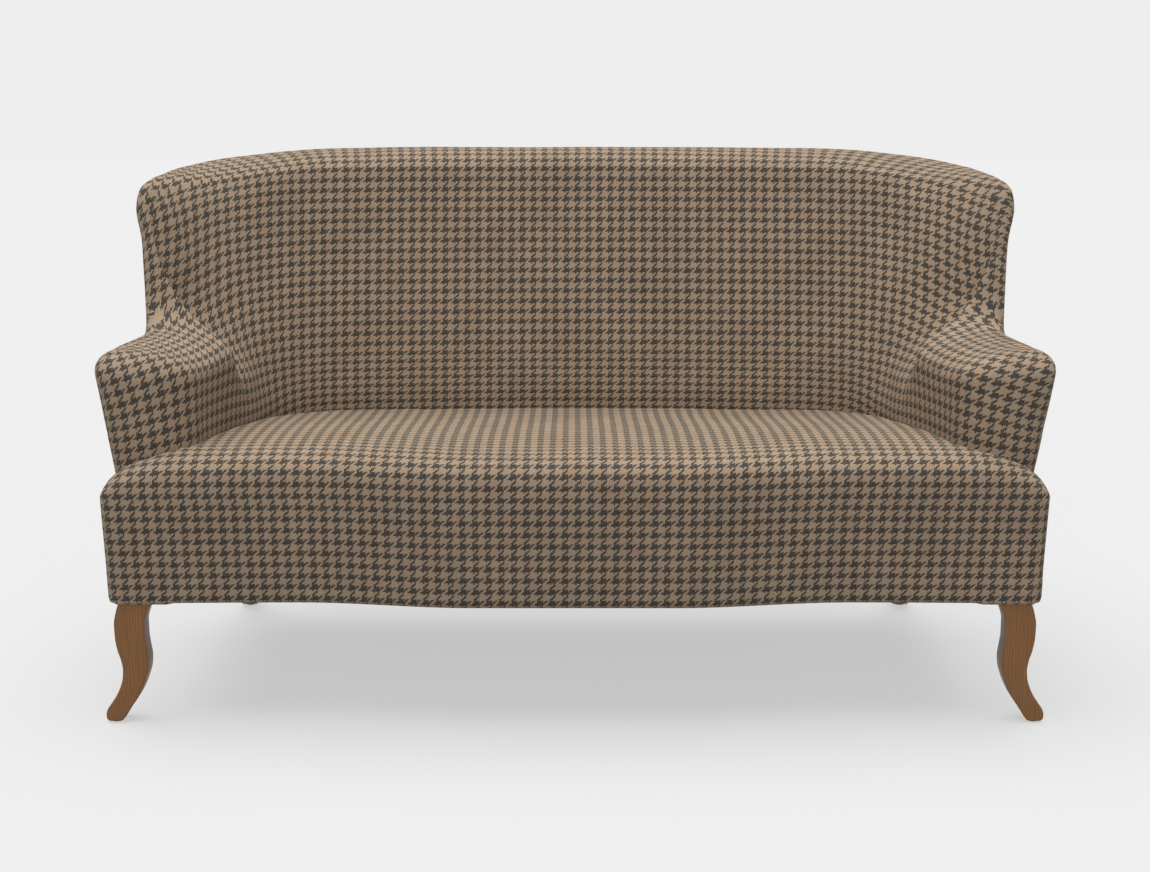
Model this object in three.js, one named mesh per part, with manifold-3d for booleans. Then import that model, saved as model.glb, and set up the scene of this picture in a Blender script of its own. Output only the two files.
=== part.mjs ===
// A high back settee with wings, low set-back arms, a fitted seat with a bowed front and sawn
// front legs. Millimetres, +Z up, +X to the right seen from the front, +Y to the back.
// The origin is on the floor, in the middle of the settee's box.
import * as THREE from 'three';
import { mergeVertices } from 'three/addons/utils/BufferGeometryUtils.js';
import Module from 'manifold-3d';

const wasm = await Module();
wasm.setup();

// Heights and outer faces of the tub, which is the back, wings and arms in one sweep
const hemHeight = 224;
const crestHeight = 962;
const armHeight = 653;
const outsideBackY = 300;
const outsideSideX = 763;
const armFlare = 16;
const armFlareStartY = -60;
const armFlarePower = 1.7;
const outerCornerRadius = 130;
const backRake = 0.1815;
const wingRake = 0.1;
const armRake = 0.176;
const cornerDraw = 60;

// Inner face of the tub at seat height
const insideBackY = 183;
const backHollow = 30;
const cornerStartX = 440;
const cornerRadius = 190;
const armTurn = THREE.MathUtils.degToRad(77);
const noseTurn = THREE.MathUtils.degToRad(98);
const armFrontY = -339;
const armNose = 100;
const armOuterNose = 30;
const noseMiddleShare = 0.18;
const noseSquareness = 0.72;

// Lean of the inner face. The wings lean out furthest, most of it at a shoulder above the arms.
const leanStart = 489;
const leanHeight = 435;
const backLean = 108;
const wingLean = 192;
const leanPower = 1.2;
const shoulderLow = 545;
const shoulderHigh = 705;
const shoulderShare = 0.62;

// Rolled edges, on [back, wing, arm]: drops from the ridge down to the inner face, and widths from
// the ridge out to the outer face. The ridge stays a little outside the inner face's own roll.
const insideDrops = [38, 32, 75];
const rollWidths = [66, 30, 44];
const ridgeWidth = 1;
const rollHold = 0.5;
const wingFlare = 10;
const flareStart = 800;
const flareHeight = 70;

// Seat
const seatFrontY = -391;
const seatBow = 34;
const bowFlat = 180;
const bowEnd = 480;
const earReach = 5;
const seatHalfWidth = 822;
const borderHeight = 407;
const seatCrown = 82;
const seatBackDrop = 11;
const noseDepth = 200;
const nosePower = 2.5;
const sidePower = 1.9;
const sideNoseDepth = 150;
const seatBackY = 193;
const earCornerRadius = 28;
const earInsideX = 722;
const frontLean = 0.042;
const sideLean = 0.024;

// Thicknesses and clearances
const clothThickness = 2;
const fitGap = 0.3;
const padGap = 0.6;
const seatGap = 0.9;
const legHoleGap = 1;
const cutOverrun = 5;
const sliver = 0.02;
const weldDistance = 0.001;
const frameDepthShare = 0.5;
const crestPadding = 36;
const armFrontPadding = 70;
const liningThickness = 4;
const frontPadding = 15;

// Beech frame
const railAboveHem = 12;
const railDepth = 94;
const railBottom = hemHeight + railAboveHem;
const railTop = railBottom + railDepth;
const frontRailThickness = 32;
const frameSetIn = 9;
const frameBelowCrest = 45;
const crestRailDepth = 68;
const rimRailDepth = 56;
const lowerRailBottom = 505;
const lowerRailTop = 565;
const tackRailBelowArmRail = 40;
const tackRailDepth = 42;
const tackRailTop = armHeight - frameBelowCrest - rimRailDepth - tackRailBelowArmRail;
const tackRailBottom = tackRailTop - tackRailDepth;
const stretcherWidth = 45;
const stretcherDrop = 20;
const cornerBlockLength = 120;
const cornerBlockWidth = 80;

// Webbing, hessian and the cloth under the settee
const webWidth = 55;
const webThickness = 2;
const hessianThickness = 1;
const seatWebCount = 4;
const seatWebPitch = 260;
const crossWebCount = 3;
const crossWebPitch = 82;
const crossWebBackY = 15;
const webOnRail = 24;
const dustThickness = 1;
const dustSetIn = 6;

// Legs, bolts and glides
const glideHeight = 3;
const glideRadius = 11;
const frontLegFaceY = -383;
const frontLegDepth = 45;
const frontLegReach = 760;
const frontLegWidth = 60;
const frontGlideX = 812;
const rearLegTopX = 652;
const rearLegTopY = 205;
const rearLegTopWidth = 56;
const rearLegFootWidth = 34;
const rearLegSpring = 26;
const rearLegSplayX = 0.1635112;
const rearLegSplayY = 0.5895009;
const boltRadius = 4;
const boltLength = 110;
const boltInLeg = 55;
const rodSides = 14;
const rearLegRingShares = [0, 0.2, 0.4, 0.6, 0.8, 1];

// Half of the tub has stations from 0 to 3: 0 to 1 the back, 1 to 2 the corner, 2 to 3 the arm.
// Each is a share of its stretch, so the stations follow every size. A loop goes on from the last
// station round the nose, from 3 to 4, and back along the outside to the loop's end at 7.
const lastStation = 3;
const loopEnd = 7;
const backStationShares = [0, 0.35, 0.7, 1];
const cornerStationShares = [1.13, 1.25, 1.4, 1.6, 1.76, 1.9];
const armStationShares = [2, 2.07, 2.13, 2.18, 2.22, 2.26, 2.32, 2.4, 2.52, 2.64, 2.8, 3];
const stations = [...backStationShares, ...cornerStationShares, ...armStationShares];
const noseShares = [3, 3.2, 3.4, 3.6, 3.8, 4];
const postShares = [1.25, 1.6];
const postRowShares = [0.35, 0.55, 0.7, 0.85];
const webRowShares = [0.14, 0.28, 0.42, 0.56, 0.7, 0.84];
const dustNoseShares = [0.6, 0.8];
const uprightShare = 0.05;
const backWebShares = [0.36, 0.8];
const webHalfShare = 0.06;
const armPadShare = 2.52;
const wingNeckShare = 0.08;
const armPostShare = 2.8;
const cornerSeamShare = 1.4;
const stationPerMillimetre = 0.005;

// Up a half section: 0 to 1 the face from the floor up, 1 to 2 the roll to the ridge
const faceShares = [0, 0.3, 0.54, 0.7, 0.82, 0.9, 1];
const rollShares = [1.3, 1.65, 2];
const seamShare = 0.9;
const liningDropShare = 0.006;

// Height of the ridge at each station, as shares of the rise from the arm to the crest
const ridgeShares = [
  [0, 1], [0.6, 0.999], [1, 0.995], [1.12, 0.991], [1.25, 0.978], [1.4, 0.951], [1.5, 0.932],
  [1.6, 0.909], [1.76, 0.886], [1.9, 0.865], [2, 0.84], [2.07, 0.78], [2.13, 0.62],
  [2.18, 0.42], [2.22, 0.25], [2.26, 0.13], [2.32, 0.06], [2.45, 0.018], [3, 0],
];

const cloth = new THREE.MeshStandardMaterial({ color: 0x7a6b58, roughness: 0.95, metalness: 0 });
const beech = new THREE.MeshStandardMaterial({ color: 0xc9a57a, roughness: 0.7, metalness: 0 });
const walnut = new THREE.MeshStandardMaterial({ color: 0x7c5a3a, roughness: 0.45, metalness: 0 });
const wadding = new THREE.MeshStandardMaterial({ color: 0xe8e2d4, roughness: 1, metalness: 0 });
const jute = new THREE.MeshStandardMaterial({ color: 0xa58c63, roughness: 1, metalness: 0 });
const dustCloth = new THREE.MeshStandardMaterial({ color: 0x1c1c1c, roughness: 1, metalness: 0 });
const steel = new THREE.MeshStandardMaterial({ color: 0xb9bcc0, roughness: 0.35, metalness: 1 });
const nylon = new THREE.MeshStandardMaterial({ color: 0x2a2522, roughness: 0.5, metalness: 0 });

const settee = new THREE.Group();

function addMesh(name, geometry, material) {
  const mesh = new THREE.Mesh(geometry, material);
  mesh.name = name;
  settee.add(mesh);
}

function addPair(name, geometry, material) {
  addMesh(`right_${name}`, geometry, material);
  addMesh(`left_${name}`, mirrored(geometry), material);
}

// Numbers

function mix(a, b, share) {
  return a + (b - a) * share;
}

function ease(share) {
  const s = Math.min(1, Math.max(0, share));
  return s * s * (3 - 2 * s);
}

// Reads a table of [place, value] rows along a smooth curve that never overshoots
function smoothTable(table, place) {
  const last = table.length - 1;
  if (place <= table[0][0]) return table[0][1];
  if (place >= table[last][0]) return table[last][1];
  const k = table.findIndex((row, i) => i < last && place <= table[i + 1][0]);
  const slope = (i) => (table[i + 1][1] - table[i][1]) / (table[i + 1][0] - table[i][0]);
  const tangent = (i) => {
    if (i === 0 || i === last || slope(i - 1) * slope(i) <= 0) return 0;
    return 2 * slope(i - 1) * slope(i) / (slope(i - 1) + slope(i));
  };
  const width = table[k + 1][0] - table[k][0];
  const u = (place - table[k][0]) / width;
  const values = table[k][1] * (1 + 2 * u) * (1 - u) ** 2 + table[k + 1][1] * u * u * (3 - 2 * u);
  return values + width * (tangent(k) * u * (1 - u) ** 2 - tangent(k + 1) * u * u * (1 - u));
}

// Geometry and solids

function geometryFrom(points, triangles) {
  const geometry = new THREE.BufferGeometry();
  const places = points.flatMap((point) => [point.x, point.y, point.z]);
  geometry.setAttribute('position', new THREE.Float32BufferAttribute(places, 3));
  geometry.setIndex(triangles.flat());
  return facingOut(geometry);
}

// The sum of the corners' triple products has the sign of the volume, below 0 when inside out
function facingOut(geometry) {
  const place = geometry.getAttribute('position');
  const index = geometry.getIndex().array;
  const corners = [0, 1, 2].map(() => new THREE.Vector3());
  let volume = 0;
  for (let i = 0; i < index.length; i += 3) {
    corners.forEach((corner, k) => corner.fromBufferAttribute(place, index[i + k]));
    volume += corners[0].dot(corners[1].clone().cross(corners[2]));
  }
  for (let i = 0; volume < 0 && i < index.length; i += 3) {
    [index[i], index[i + 1]] = [index[i + 1], index[i]];
  }
  return geometry;
}

function toSolid(geometry) {
  const bare = new THREE.BufferGeometry();
  bare.setAttribute('position', geometry.getAttribute('position'));
  bare.setIndex(geometry.getIndex());
  const merged = mergeVertices(bare, weldDistance / 10);
  return new wasm.Manifold(new wasm.Mesh({
    numProp: 3,
    vertProperties: new Float32Array(merged.getAttribute('position').array),
    triVerts: new Uint32Array(merged.getIndex().array),
  }));
}

function toGeometry(solid) {
  const mesh = solid.getMesh();
  const geometry = new THREE.BufferGeometry();
  geometry.setAttribute('position', new THREE.BufferAttribute(mesh.vertProperties, 3));
  geometry.setIndex(new THREE.BufferAttribute(mesh.triVerts, 1));
  return geometry;
}

function mirrored(geometry) {
  const copy = geometry.clone();
  copy.scale(-1, 1, 1);
  return facingOut(copy);
}

function bothSolids(solid) {
  return solid.add(toSolid(mirrored(toGeometry(solid))));
}

function boxGeometry(lowX, highX, lowY, highY, lowZ, highZ) {
  const box = new THREE.BoxGeometry(highX - lowX, highY - lowY, highZ - lowZ);
  box.translate((lowX + highX) / 2, (lowY + highY) / 2, (lowZ + highZ) / 2);
  return box;
}

const farAway = 3 * seatHalfWidth;

function slab(bottom, top) {
  return toSolid(boxGeometry(-farAway, farAway, -farAway, farAway, bottom, top));
}

// Largest body of a solid that a cut left in pieces, without slivers too thin to keep
function mainBody(solid) {
  const bodies = solid.simplify(sliver).decompose();
  return bodies.reduce((best, body) => (body.volume() > best.volume() ? body : best));
}

// Joins rings of points with equal, even counts into one closed body with flat ends
function loft(rings) {
  const count = rings[0].length;
  const last = (rings.length - 1) * count;
  const triangles = [];
  for (let i = 0; i + 1 < rings.length; i += 1) {
    for (let j = 0; j < count; j += 1) {
      const a = i * count + j;
      const b = i * count + (j + 1) % count;
      triangles.push([a, b, b + count], [a, b + count, a + count]);
    }
  }
  for (let j = 0; j + 1 < count / 2; j += 1) {
    const [a, b, c, d] = [j, j + 1, count - 2 - j, count - 1 - j];
    triangles.push([b, a, d], [b, d, c]);
    triangles.push([last + a, last + b, last + c], [last + a, last + c, last + d]);
  }
  return geometryFrom(rings.flat(), triangles);
}

// Plan of the tub. Its inner face is a hollow back, a round corner and a straight arm, and the
// normal points out through the wall. On the arm the normal swings forward, towards the nose.

function insidePlan(station) {
  const startTurn = Math.atan(2 * backHollow / cornerStartX);
  const arcStart = new THREE.Vector2(cornerStartX, insideBackY - backHollow);
  const onArc = (turn) => new THREE.Vector2(
    arcStart.x + cornerRadius * (Math.sin(turn) - Math.sin(startTurn)),
    arcStart.y - cornerRadius * (Math.cos(startTurn) - Math.cos(turn)),
  );
  if (station <= 1) {
    const place = new THREE.Vector2(cornerStartX * station, insideBackY - backHollow * station ** 2);
    return { place, normal: outwards(Math.atan(2 * backHollow * station / cornerStartX)) };
  }
  if (station <= 2) {
    const turn = mix(startTurn, armTurn, station - 1);
    return { place: onArc(turn), normal: outwards(turn) };
  }
  const arcEnd = onArc(armTurn);
  const armEndY = armFrontY + armNose * (1 - Math.cos(armTurn));
  const run = (station - 2) * (arcEnd.y - armEndY) / Math.sin(armTurn);
  const place = arcEnd.addScaledVector(new THREE.Vector2(Math.cos(armTurn), -Math.sin(armTurn)), run);
  return { place, normal: outwards(mix(armTurn, noseTurn, ease(station - 2))) };
}

function outwards(turn) {
  return new THREE.Vector2(Math.sin(turn), Math.cos(turn));
}

// Outer side at the hem: straight by the wing, flaring towards the front of the arm
function outerSideX(y) {
  const share = Math.max(0, armFlareStartY - y) / (armFlareStartY - armFrontY);
  return outsideSideX + armFlare * share ** armFlarePower;
}

// How far the outside is from the inner face at the hem, along the normal. The outer side flares,
// so its distance is found in rounds that close in on it.
const sideRounds = 8;

function wallReach({ place, normal }) {
  const toBack = normal.y > 0 ? (outsideBackY - place.y) / normal.y : Infinity;
  let toSide = 0;
  for (let round = 0; round < sideRounds && normal.x > 0; round += 1) {
    toSide = (outerSideX(place.y + normal.y * toSide) - place.x) / normal.x;
  }
  const reach = normal.x > 0 ? Math.min(toBack, toSide) : toBack;
  const centre = new THREE.Vector2(outsideSideX - outerCornerRadius, outsideBackY - outerCornerRadius);
  const hit = place.clone().addScaledVector(normal, reach);
  if (hit.x < centre.x || hit.y < centre.y) return reach;
  const toCentre = centre.sub(place);
  const along = toCentre.dot(normal);
  return along + Math.sqrt(outerCornerRadius ** 2 - toCentre.lengthSq() + along ** 2);
}

// Stretches of stations, [start, end], over which a change of shape eases in
const wingStretch = [0.8, 2];
const sweepStretch = [1.3, 2.05];
const shoulderStretch = [1.7, 2.2];
const armStretch = [2.12, 2.45];
const armRakeStretch = [2.3, 3];

function within([start, end], value) {
  return ease((value - start) / (end - start));
}

// How much of a station is wing rather than back, and how much is arm rather than wing
function wingShare(station) {
  return within(wingStretch, station);
}

function armShare(station) {
  return within(armStretch, station);
}

function insideLean(station, height) {
  const full = mix(backLean, wingLean, within(sweepStretch, station)) * (1 - armShare(station));
  const rise = Math.max(0, height - leanStart) / leanHeight;
  const shoulder = within([shoulderLow, shoulderHigh], height);
  return full * mix(rise ** leanPower, shoulder, shoulderShare * within(shoulderStretch, station));
}

// Drop from the ridge to where a roll starts, from the drops on the back, the wing and the arm
function rollDrop(station, [onBack, onWing, onArm]) {
  return mix(mix(onBack, onWing, wingShare(station)), onArm, armShare(station));
}

// The outside rakes with the back and the side, and is drawn in at the upper corner between them
function outsideLean(station, normal, height) {
  const sideRake = mix(wingRake, armRake, within(armRakeStretch, station));
  const draw = cornerDraw / (crestHeight - hemHeight) * (2 * normal.x * normal.y) ** 2;
  return (Math.hypot(backRake * normal.y, sideRake * normal.x) - draw) * (height - hemHeight);
}

function ridgeHeight(station) {
  return mix(armHeight, crestHeight, smoothTable(ridgeShares, station));
}

// Skins: the outer shape of the tub, moved in by an amount on each side. A square skin has no
// rolls, as the wooden core inside the padding.

function movedIn(amount) {
  return { depthShare: 0, inside: amount, outside: amount, crest: amount, front: amount };
}

const outerSkin = movedIn(0);
const clothInside = movedIn(clothThickness);
const stuffed = movedIn(clothThickness + fitGap);
const padFace = movedIn(clothThickness + padGap);
const grown = movedIn(-seatGap);
const liningInside = movedIn(clothThickness + fitGap + liningThickness);
const core = {
  depthShare: frameDepthShare,
  inside: 0,
  outside: frameSetIn,
  crest: crestPadding,
  front: armFrontPadding,
  square: true,
};

// An upright section through the wall at a station from 0 to 3
function wallSection(station, skin) {
  const plan = insidePlan(station);
  const reach = wallReach(plan);
  const rim = ridgeHeight(station);
  const inner = (height) => insideLean(station, height);
  const flare = (height) => wingFlare * ease((height - flareStart) / flareHeight) * wingShare(station);
  const outer = (height) => reach + outsideLean(station, plan.normal, height) + flare(height);
  const insideAt = (height) => mix(inner(height), outer(height), skin.depthShare) + skin.inside;
  const outsideAt = (height) => outer(height) - skin.outside;
  const top = rim - skin.crest;
  const insideTop = skin.square ? top : rim - rollDrop(station, insideDrops);
  const outsideTop = skin.square ? top : rim - crestPadding;
  const rollWidth = rollDrop(station, rollWidths);
  const insideSlope = insideAt(insideTop) - insideAt(insideTop - 1);
  const overInside = insideAt(insideTop) + insideSlope * (top - insideTop) * rollHold + ridgeWidth;
  const ridge = Math.max(outer(rim) - rollWidth, overInside);
  const at = (distance, height) => {
    const place = plan.place.clone().addScaledVector(plan.normal, distance);
    return new THREE.Vector3(place.x, place.y, height);
  };
  return { insideAt, outsideAt, insideTop, outsideTop, ridge, top, at };
}

// The front of the arm, round from the inner face (share 0) to the outer face (share 1)
function nosePoint(section, share, height, skin) {
  const inner = section.at(section.insideAt(height), height);
  const outer = section.at(section.outsideAt(height), height);
  const frontY = armFrontY + skin.front;
  const middleX = mix(outer.x, inner.x, noseMiddleShare) - armOuterNose;
  const angle = share * Math.PI;
  const forward = share <= 0.5 ? Math.sin(angle) : Math.sin(angle) ** noseSquareness;
  const sideways = share <= 0.5 ? Math.cos(angle) : (-Math.cos(angle)) ** noseSquareness;
  const from = share <= 0.5 ? inner : outer;
  return new THREE.Vector3(
    middleX + (from.x - middleX) * sideways,
    mix(from.y, frontY, forward),
    height,
  );
}

// A point of the tub's skin. The row goes up the face, from 0 to 1, and up the roll, from 1 to 2.
function wallPoint(loop, row, skin, floorAt) {
  const station = Math.min(lastStation, loop, loopEnd - loop);
  const section = wallSection(Math.max(0, station), skin);
  const share = Math.min(1, Math.max(0, loop - lastStation));
  const face = (height) => {
    if (share === 0) return section.at(section.insideAt(height), height);
    if (share === 1) return section.at(section.outsideAt(height), height);
    return nosePoint(section, share, height, skin);
  };
  const faceTop = mix(section.insideTop, section.outsideTop, share);
  if (row <= 1) return face(mix(floorAt(loop), faceTop, row));
  return rollPoint(face, faceTop, section.at(section.ridge, section.top), row - 1);
}

// A quarter roll that leaves the face along its slope and meets the ridge level
function rollPoint(face, faceTop, ridge, share) {
  const start = face(faceTop);
  const slope = start.clone().sub(face(faceTop - 1));
  const overStart = new THREE.Vector3(start.x, start.y, ridge.z);
  const lean = Math.hypot(slope.x, slope.y);
  const width = overStart.distanceTo(ridge) / Math.max(lean, Number.EPSILON);
  const startHandle = start.clone().addScaledVector(slope, Math.min(ridge.z - start.z, width) * rollHold);
  const endHandle = ridge.clone().lerp(overStart, rollHold);
  const curve = new THREE.CubicBezierCurve3(start, startHandle, endHandle, ridge);
  return curve.getPoint(share);
}

// Patches of the skin: lists of columns of [loop, row, side], where side -1 is the left half

function patch(loop, rowList, side) {
  return loop.map((place) => rowList.map((row) => [place, row, side]));
}

function bothPatches(loop, rowList) {
  return [patch(loop, rowList, 1), patch(loop, rowList, -1)];
}

function patchFaces(columns, vertex) {
  const faces = [];
  for (let i = 0; i + 1 < columns.length; i += 1) {
    for (let j = 0; j + 1 < columns[i].length; j += 1) {
      const a = vertex(columns[i][j]);
      const b = vertex(columns[i + 1][j]);
      const c = vertex(columns[i + 1][j + 1]);
      const d = vertex(columns[i][j + 1]);
      const right = columns[i][j][2] > 0;
      faces.push(...(right ? [[a, b, c], [a, c, d]] : [[b, a, c], [a, d, c]]));
    }
  }
  return faces.filter((face) => new Set(face).size === 3);
}

// Numbers the points of a skin so that patches share the points where they meet
function vertexList(skins, floorAt) {
  const ids = new Map();
  const layers = skins.map(() => []);
  const vertex = ([loop, row, side]) => {
    const points = skins.map((skin) => wallPoint(loop, row, skin, floorAt));
    points.forEach((point) => point.setX(point.x * side));
    const key = points[0].toArray().map((value) => Math.round(value / weldDistance) || 0).join();
    if (!ids.has(key)) {
      ids.set(key, layers[0].length);
      layers.forEach((layer, k) => layer.push(points[k]));
    }
    return ids.get(key);
  };
  return { vertex, layers };
}

function edgesOf([a, b, c]) {
  return [[a, b], [b, c], [c, a]];
}

// A closed shell between two skins, over some patches
function shell(patches, outer, inner, floorAt) {
  const { vertex, layers } = vertexList([outer, inner], floorAt);
  const faces = patches.flatMap((columns) => patchFaces(columns, vertex));
  const far = layers[0].length;
  const edges = new Set(faces.flatMap((face) => edgesOf(face).map((edge) => edge.join())));
  const triangles = [];
  for (const face of faces) {
    triangles.push(face, face.map((id) => id + far).reverse());
    for (const [a, b] of edgesOf(face)) {
      if (!edges.has([b, a].join())) triangles.push([b, a, a + far], [b, a + far, b + far]);
    }
  }
  return geometryFrom(layers.flat(), triangles);
}

const rows = [...faceShares, ...rollShares];
const outsideLoop = stations.map((station) => loopEnd - station).reverse();
const wholeLoop = [...stations, ...noseShares.slice(1), ...outsideLoop.slice(1)];

// The whole tub as one solid, from a floor up
function tubSolid(skin, floor) {
  const { vertex, layers } = vertexList([skin], () => floor);
  const faces = bothPatches(wholeLoop, rows).flatMap((columns) => patchFaces(columns, vertex));
  for (const side of [1, -1]) {
    const foot = (loop) => vertex([loop, 0, side]);
    const bottom = [];
    stations.slice(1).forEach((station, i) => {
      const [a, b] = [foot(stations[i]), foot(station)];
      const [c, d] = [foot(loopEnd - station), foot(loopEnd - stations[i])];
      bottom.push([b, a, d], [b, d, c]);
    });
    noseShares.slice(2).forEach((share, i) => {
      bottom.push([foot(noseShares[0]), foot(share), foot(noseShares[i + 1])]);
    });
    faces.push(...(side > 0 ? bottom : bottom.map((face) => face.reverse())));
  }
  return toSolid(geometryFrom(layers.flat(), faces));
}

// A board fills the core between two stations and two heights, and a web lies on its inner face.
// A station below 0 is on the left half, and row shares let a tall board follow the lean. With
// room, the board is grown all round, to cut a place for it.
function board({ from, to, bottomAt, topAt, rowShares = [], web = 0 }, room = 0) {
  const start = from - room * stationPerMillimetre;
  const end = to + room * stationPerMillimetre;
  const inBetween = [...stations, ...stations.map((station) => -station)];
  const run = [...new Set([start, ...inBetween.filter((s) => s > start && s < end), end])];
  const rings = run.sort((a, b) => a - b).map((signed) => {
    const station = Math.abs(signed);
    const section = wallSection(station, core);
    const [low, high] = [bottomAt(station) - room, topAt(station) + room];
    const heights = [0, ...rowShares, 1].map((share) => mix(low, high, share));
    const near = (z) => section.insideAt(z) - (web ? web + fitGap : 0) - room;
    const far = (z) => (web ? section.insideAt(z) - fitGap : section.outsideAt(z)) + room;
    const nearFace = heights.map((z) => section.at(near(z), z));
    const farFace = heights.map((z) => section.at(far(z), z)).reverse();
    const ring = [...nearFace, ...farFace];
    ring.forEach((point) => point.setX(signed < 0 ? -point.x : point.x));
    return ring;
  });
  return toSolid(loft(rings));
}

// Seat: a block whose front bows out in the middle and whose ears stand in front of the arms

function frontLine(x) {
  const away = Math.abs(x);
  const bow = seatBow * (1 - ease((away - bowFlat) / (bowEnd - bowFlat)));
  return seatFrontY - bow - earReach * ease((away - bowEnd) / (seatHalfWidth - bowEnd));
}

function crownShare(distance, depth, power) {
  const away = 1 - Math.min(1, Math.max(0, distance) / depth);
  return (1 - away ** power) ** (1 / power);
}

// Height of the top at a distance from the front edge and from the nearer side
function seatHeight(fromFront, fromSide) {
  const crown = crownShare(fromFront, noseDepth, nosePower) * crownShare(fromSide, sideNoseDepth, sidePower);
  return borderHeight + seatCrown * crown - seatBackDrop * ease(fromFront / noseDepth - 2);
}

const acrossShares = [0, 0.16, 0.3, 0.4, 0.5, 0.6, 0.7, 0.8, 0.87, 0.92, 0.955, 0.98, 0.993, 1];
const noseDepthShares = [0, 0.012, 0.05, 0.13, 0.27, 0.5, 0.75, 1];
const behindNoseShares = [0.33, 0.66, 1];
const borderShares = [0.5, 0];

// The seat's outer shape moved in by an amount, as one solid from the floor height up
function seatSolid(inset, floor) {
  const half = seatHalfWidth - inset;
  const corner = earCornerRadius - Math.min(inset, earCornerRadius / 2);
  const left = acrossShares.slice(1).map((share) => -share).reverse();
  const columns = [...left, ...acrossShares].map((share) => {
    const x = half * share;
    const intoCorner = Math.max(0, Math.abs(x) - (half - corner));
    const bite = corner - Math.sqrt(Math.max(0, corner ** 2 - intoCorner ** 2));
    const front = frontLine(x) + inset + bite;
    const depths = [
      ...noseDepthShares.map((place) => noseDepth * place),
      ...behindNoseShares.map((place) => mix(noseDepth, seatBackY + inset - front, place)),
    ];
    return depths.map((depth) => {
      const height = seatHeight(depth, half - Math.abs(x)) - inset;
      return new THREE.Vector3(x, front + depth, height);
    });
  });
  return toSolid(blockGeometry(columns, floor, borderHeight - inset));
}

// Closes a grid of top points with a border, which leans in as it goes down, and a flat base
function blockGeometry(columns, floor, edge) {
  const deep = columns[0].length;
  const wide = columns.length;
  const points = columns.flat();
  const triangles = [];
  const quad = (a, b, c, d) => triangles.push([a, b, c], [a, c, d]);
  for (let i = 0; i + 1 < wide; i += 1) {
    for (let j = 0; j + 1 < deep; j += 1) {
      const near = i * deep + j;
      quad(near, near + deep, near + deep + 1, near + 1);
    }
  }
  const frontRim = columns.map((column, i) => i * deep);
  const rightRim = columns[0].slice(1, -1).map((point, j) => (wide - 1) * deep + j + 1);
  const backRim = frontRim.map((id) => id + deep - 1).reverse();
  const leftRim = columns[0].slice(1, -1).map((point, j) => j + 1).reverse();
  let above = [...frontRim, ...rightRim, ...backRim, ...leftRim];
  for (const share of borderShares) {
    const level = mix(floor, edge, share);
    const below = above.map((id) => points.push(underBorder(points[id], level)) - 1);
    above.forEach((id, k) => {
      const next = (k + 1) % above.length;
      quad(above[next], id, below[k], below[next]);
    });
    above = below;
  }
  const middle = points.push(new THREE.Vector3(0, 0, floor)) - 1;
  above.forEach((id, k) => triangles.push([middle, above[(k + 1) % above.length], id]));
  return geometryFrom(points, triangles);
}

function underBorder(point, level) {
  const drop = point.z - level;
  const nearFront = Math.min(1, Math.max(0, 2 * point.y / seatFrontY));
  const x = point.x * (1 - sideLean * drop / seatHalfWidth);
  return new THREE.Vector3(x, point.y + frontLean * drop * nearFront, level);
}

// Space beside and behind the ears, which makes the seat T shaped
function besideEars(gap) {
  const lowX = earInsideX - gap;
  const lowY = armFrontY - fitGap - gap;
  return bothSolids(toSolid(boxGeometry(lowX, farAway, lowY, farAway, 0, farAway)));
}

// Legs

// Height up the leg, then the outer and inner edge beside the leg's reach, over its width
const frontLegShares = [
  [0, 1.05, 0.72], [0.02, 1.12, 0.6], [0.05, 1.13, 0.52], [0.09, 1.09, 0.44], [0.14, 0.96, 0.29],
  [0.2, 0.81, 0.14], [0.27, 0.68, 0.01], [0.34, 0.6, -0.09], [0.41, 0.58, -0.16],
  [0.48, 0.62, -0.18], [0.56, 0.71, -0.14], [0.66, 0.77, -0.1], [0.76, 0.78, -0.1],
  [0.86, 0.71, -0.2], [0.94, 0.61, -0.37], [1, 0.53, -0.52],
];
const legTop = railBottom - fitGap;
const legFoot = glideHeight + fitGap;
const rearLegFootX = rearLegTopX + rearLegSplayX * (legTop - legFoot);
const rearLegFootY = rearLegTopY + rearLegSplayY * (legTop - legFoot);

function frontLeg() {
  const edge = (column) => frontLegShares.map((row) => new THREE.Vector2(
    frontLegReach + frontLegWidth * row[column],
    mix(legFoot, legTop, row[0]),
  ));
  const outline = new THREE.Shape([...edge(1), ...edge(2).reverse()]);
  const leg = new THREE.ExtrudeGeometry(outline, { depth: frontLegDepth, bevelEnabled: false });
  leg.rotateX(Math.PI / 2);
  leg.translate(0, frontLegFaceY + frontLegDepth, 0);
  return toSolid(leg);
}

function rearLeg() {
  const top = new THREE.Vector3(rearLegTopX, rearLegTopY, legTop);
  const foot = new THREE.Vector3(rearLegFootX, rearLegFootY, legFoot);
  const bend = top.clone().lerp(foot, 0.5).add(new THREE.Vector3(0, -rearLegSpring, 0));
  const line = new THREE.QuadraticBezierCurve3(top, bend, foot);
  const rings = rearLegRingShares.map((share) => {
    const centre = line.getPoint(share);
    const half = mix(rearLegTopWidth, rearLegFootWidth, share) / 2;
    const corners = [[-half, -half], [-half, half], [half, half], [half, -half]];
    return corners.map(([x, y]) => new THREE.Vector3(centre.x + x, centre.y + y, centre.z));
  });
  return toSolid(loft(rings));
}

function uprightRod(radius, length, x, y, bottom) {
  const rod = new THREE.CylinderGeometry(radius, radius, length, rodSides);
  rod.rotateX(Math.PI / 2);
  rod.translate(x, y, bottom + length / 2);
  return rod;
}

// Frame of the back, wings and arms, with a gap at each joint

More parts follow.
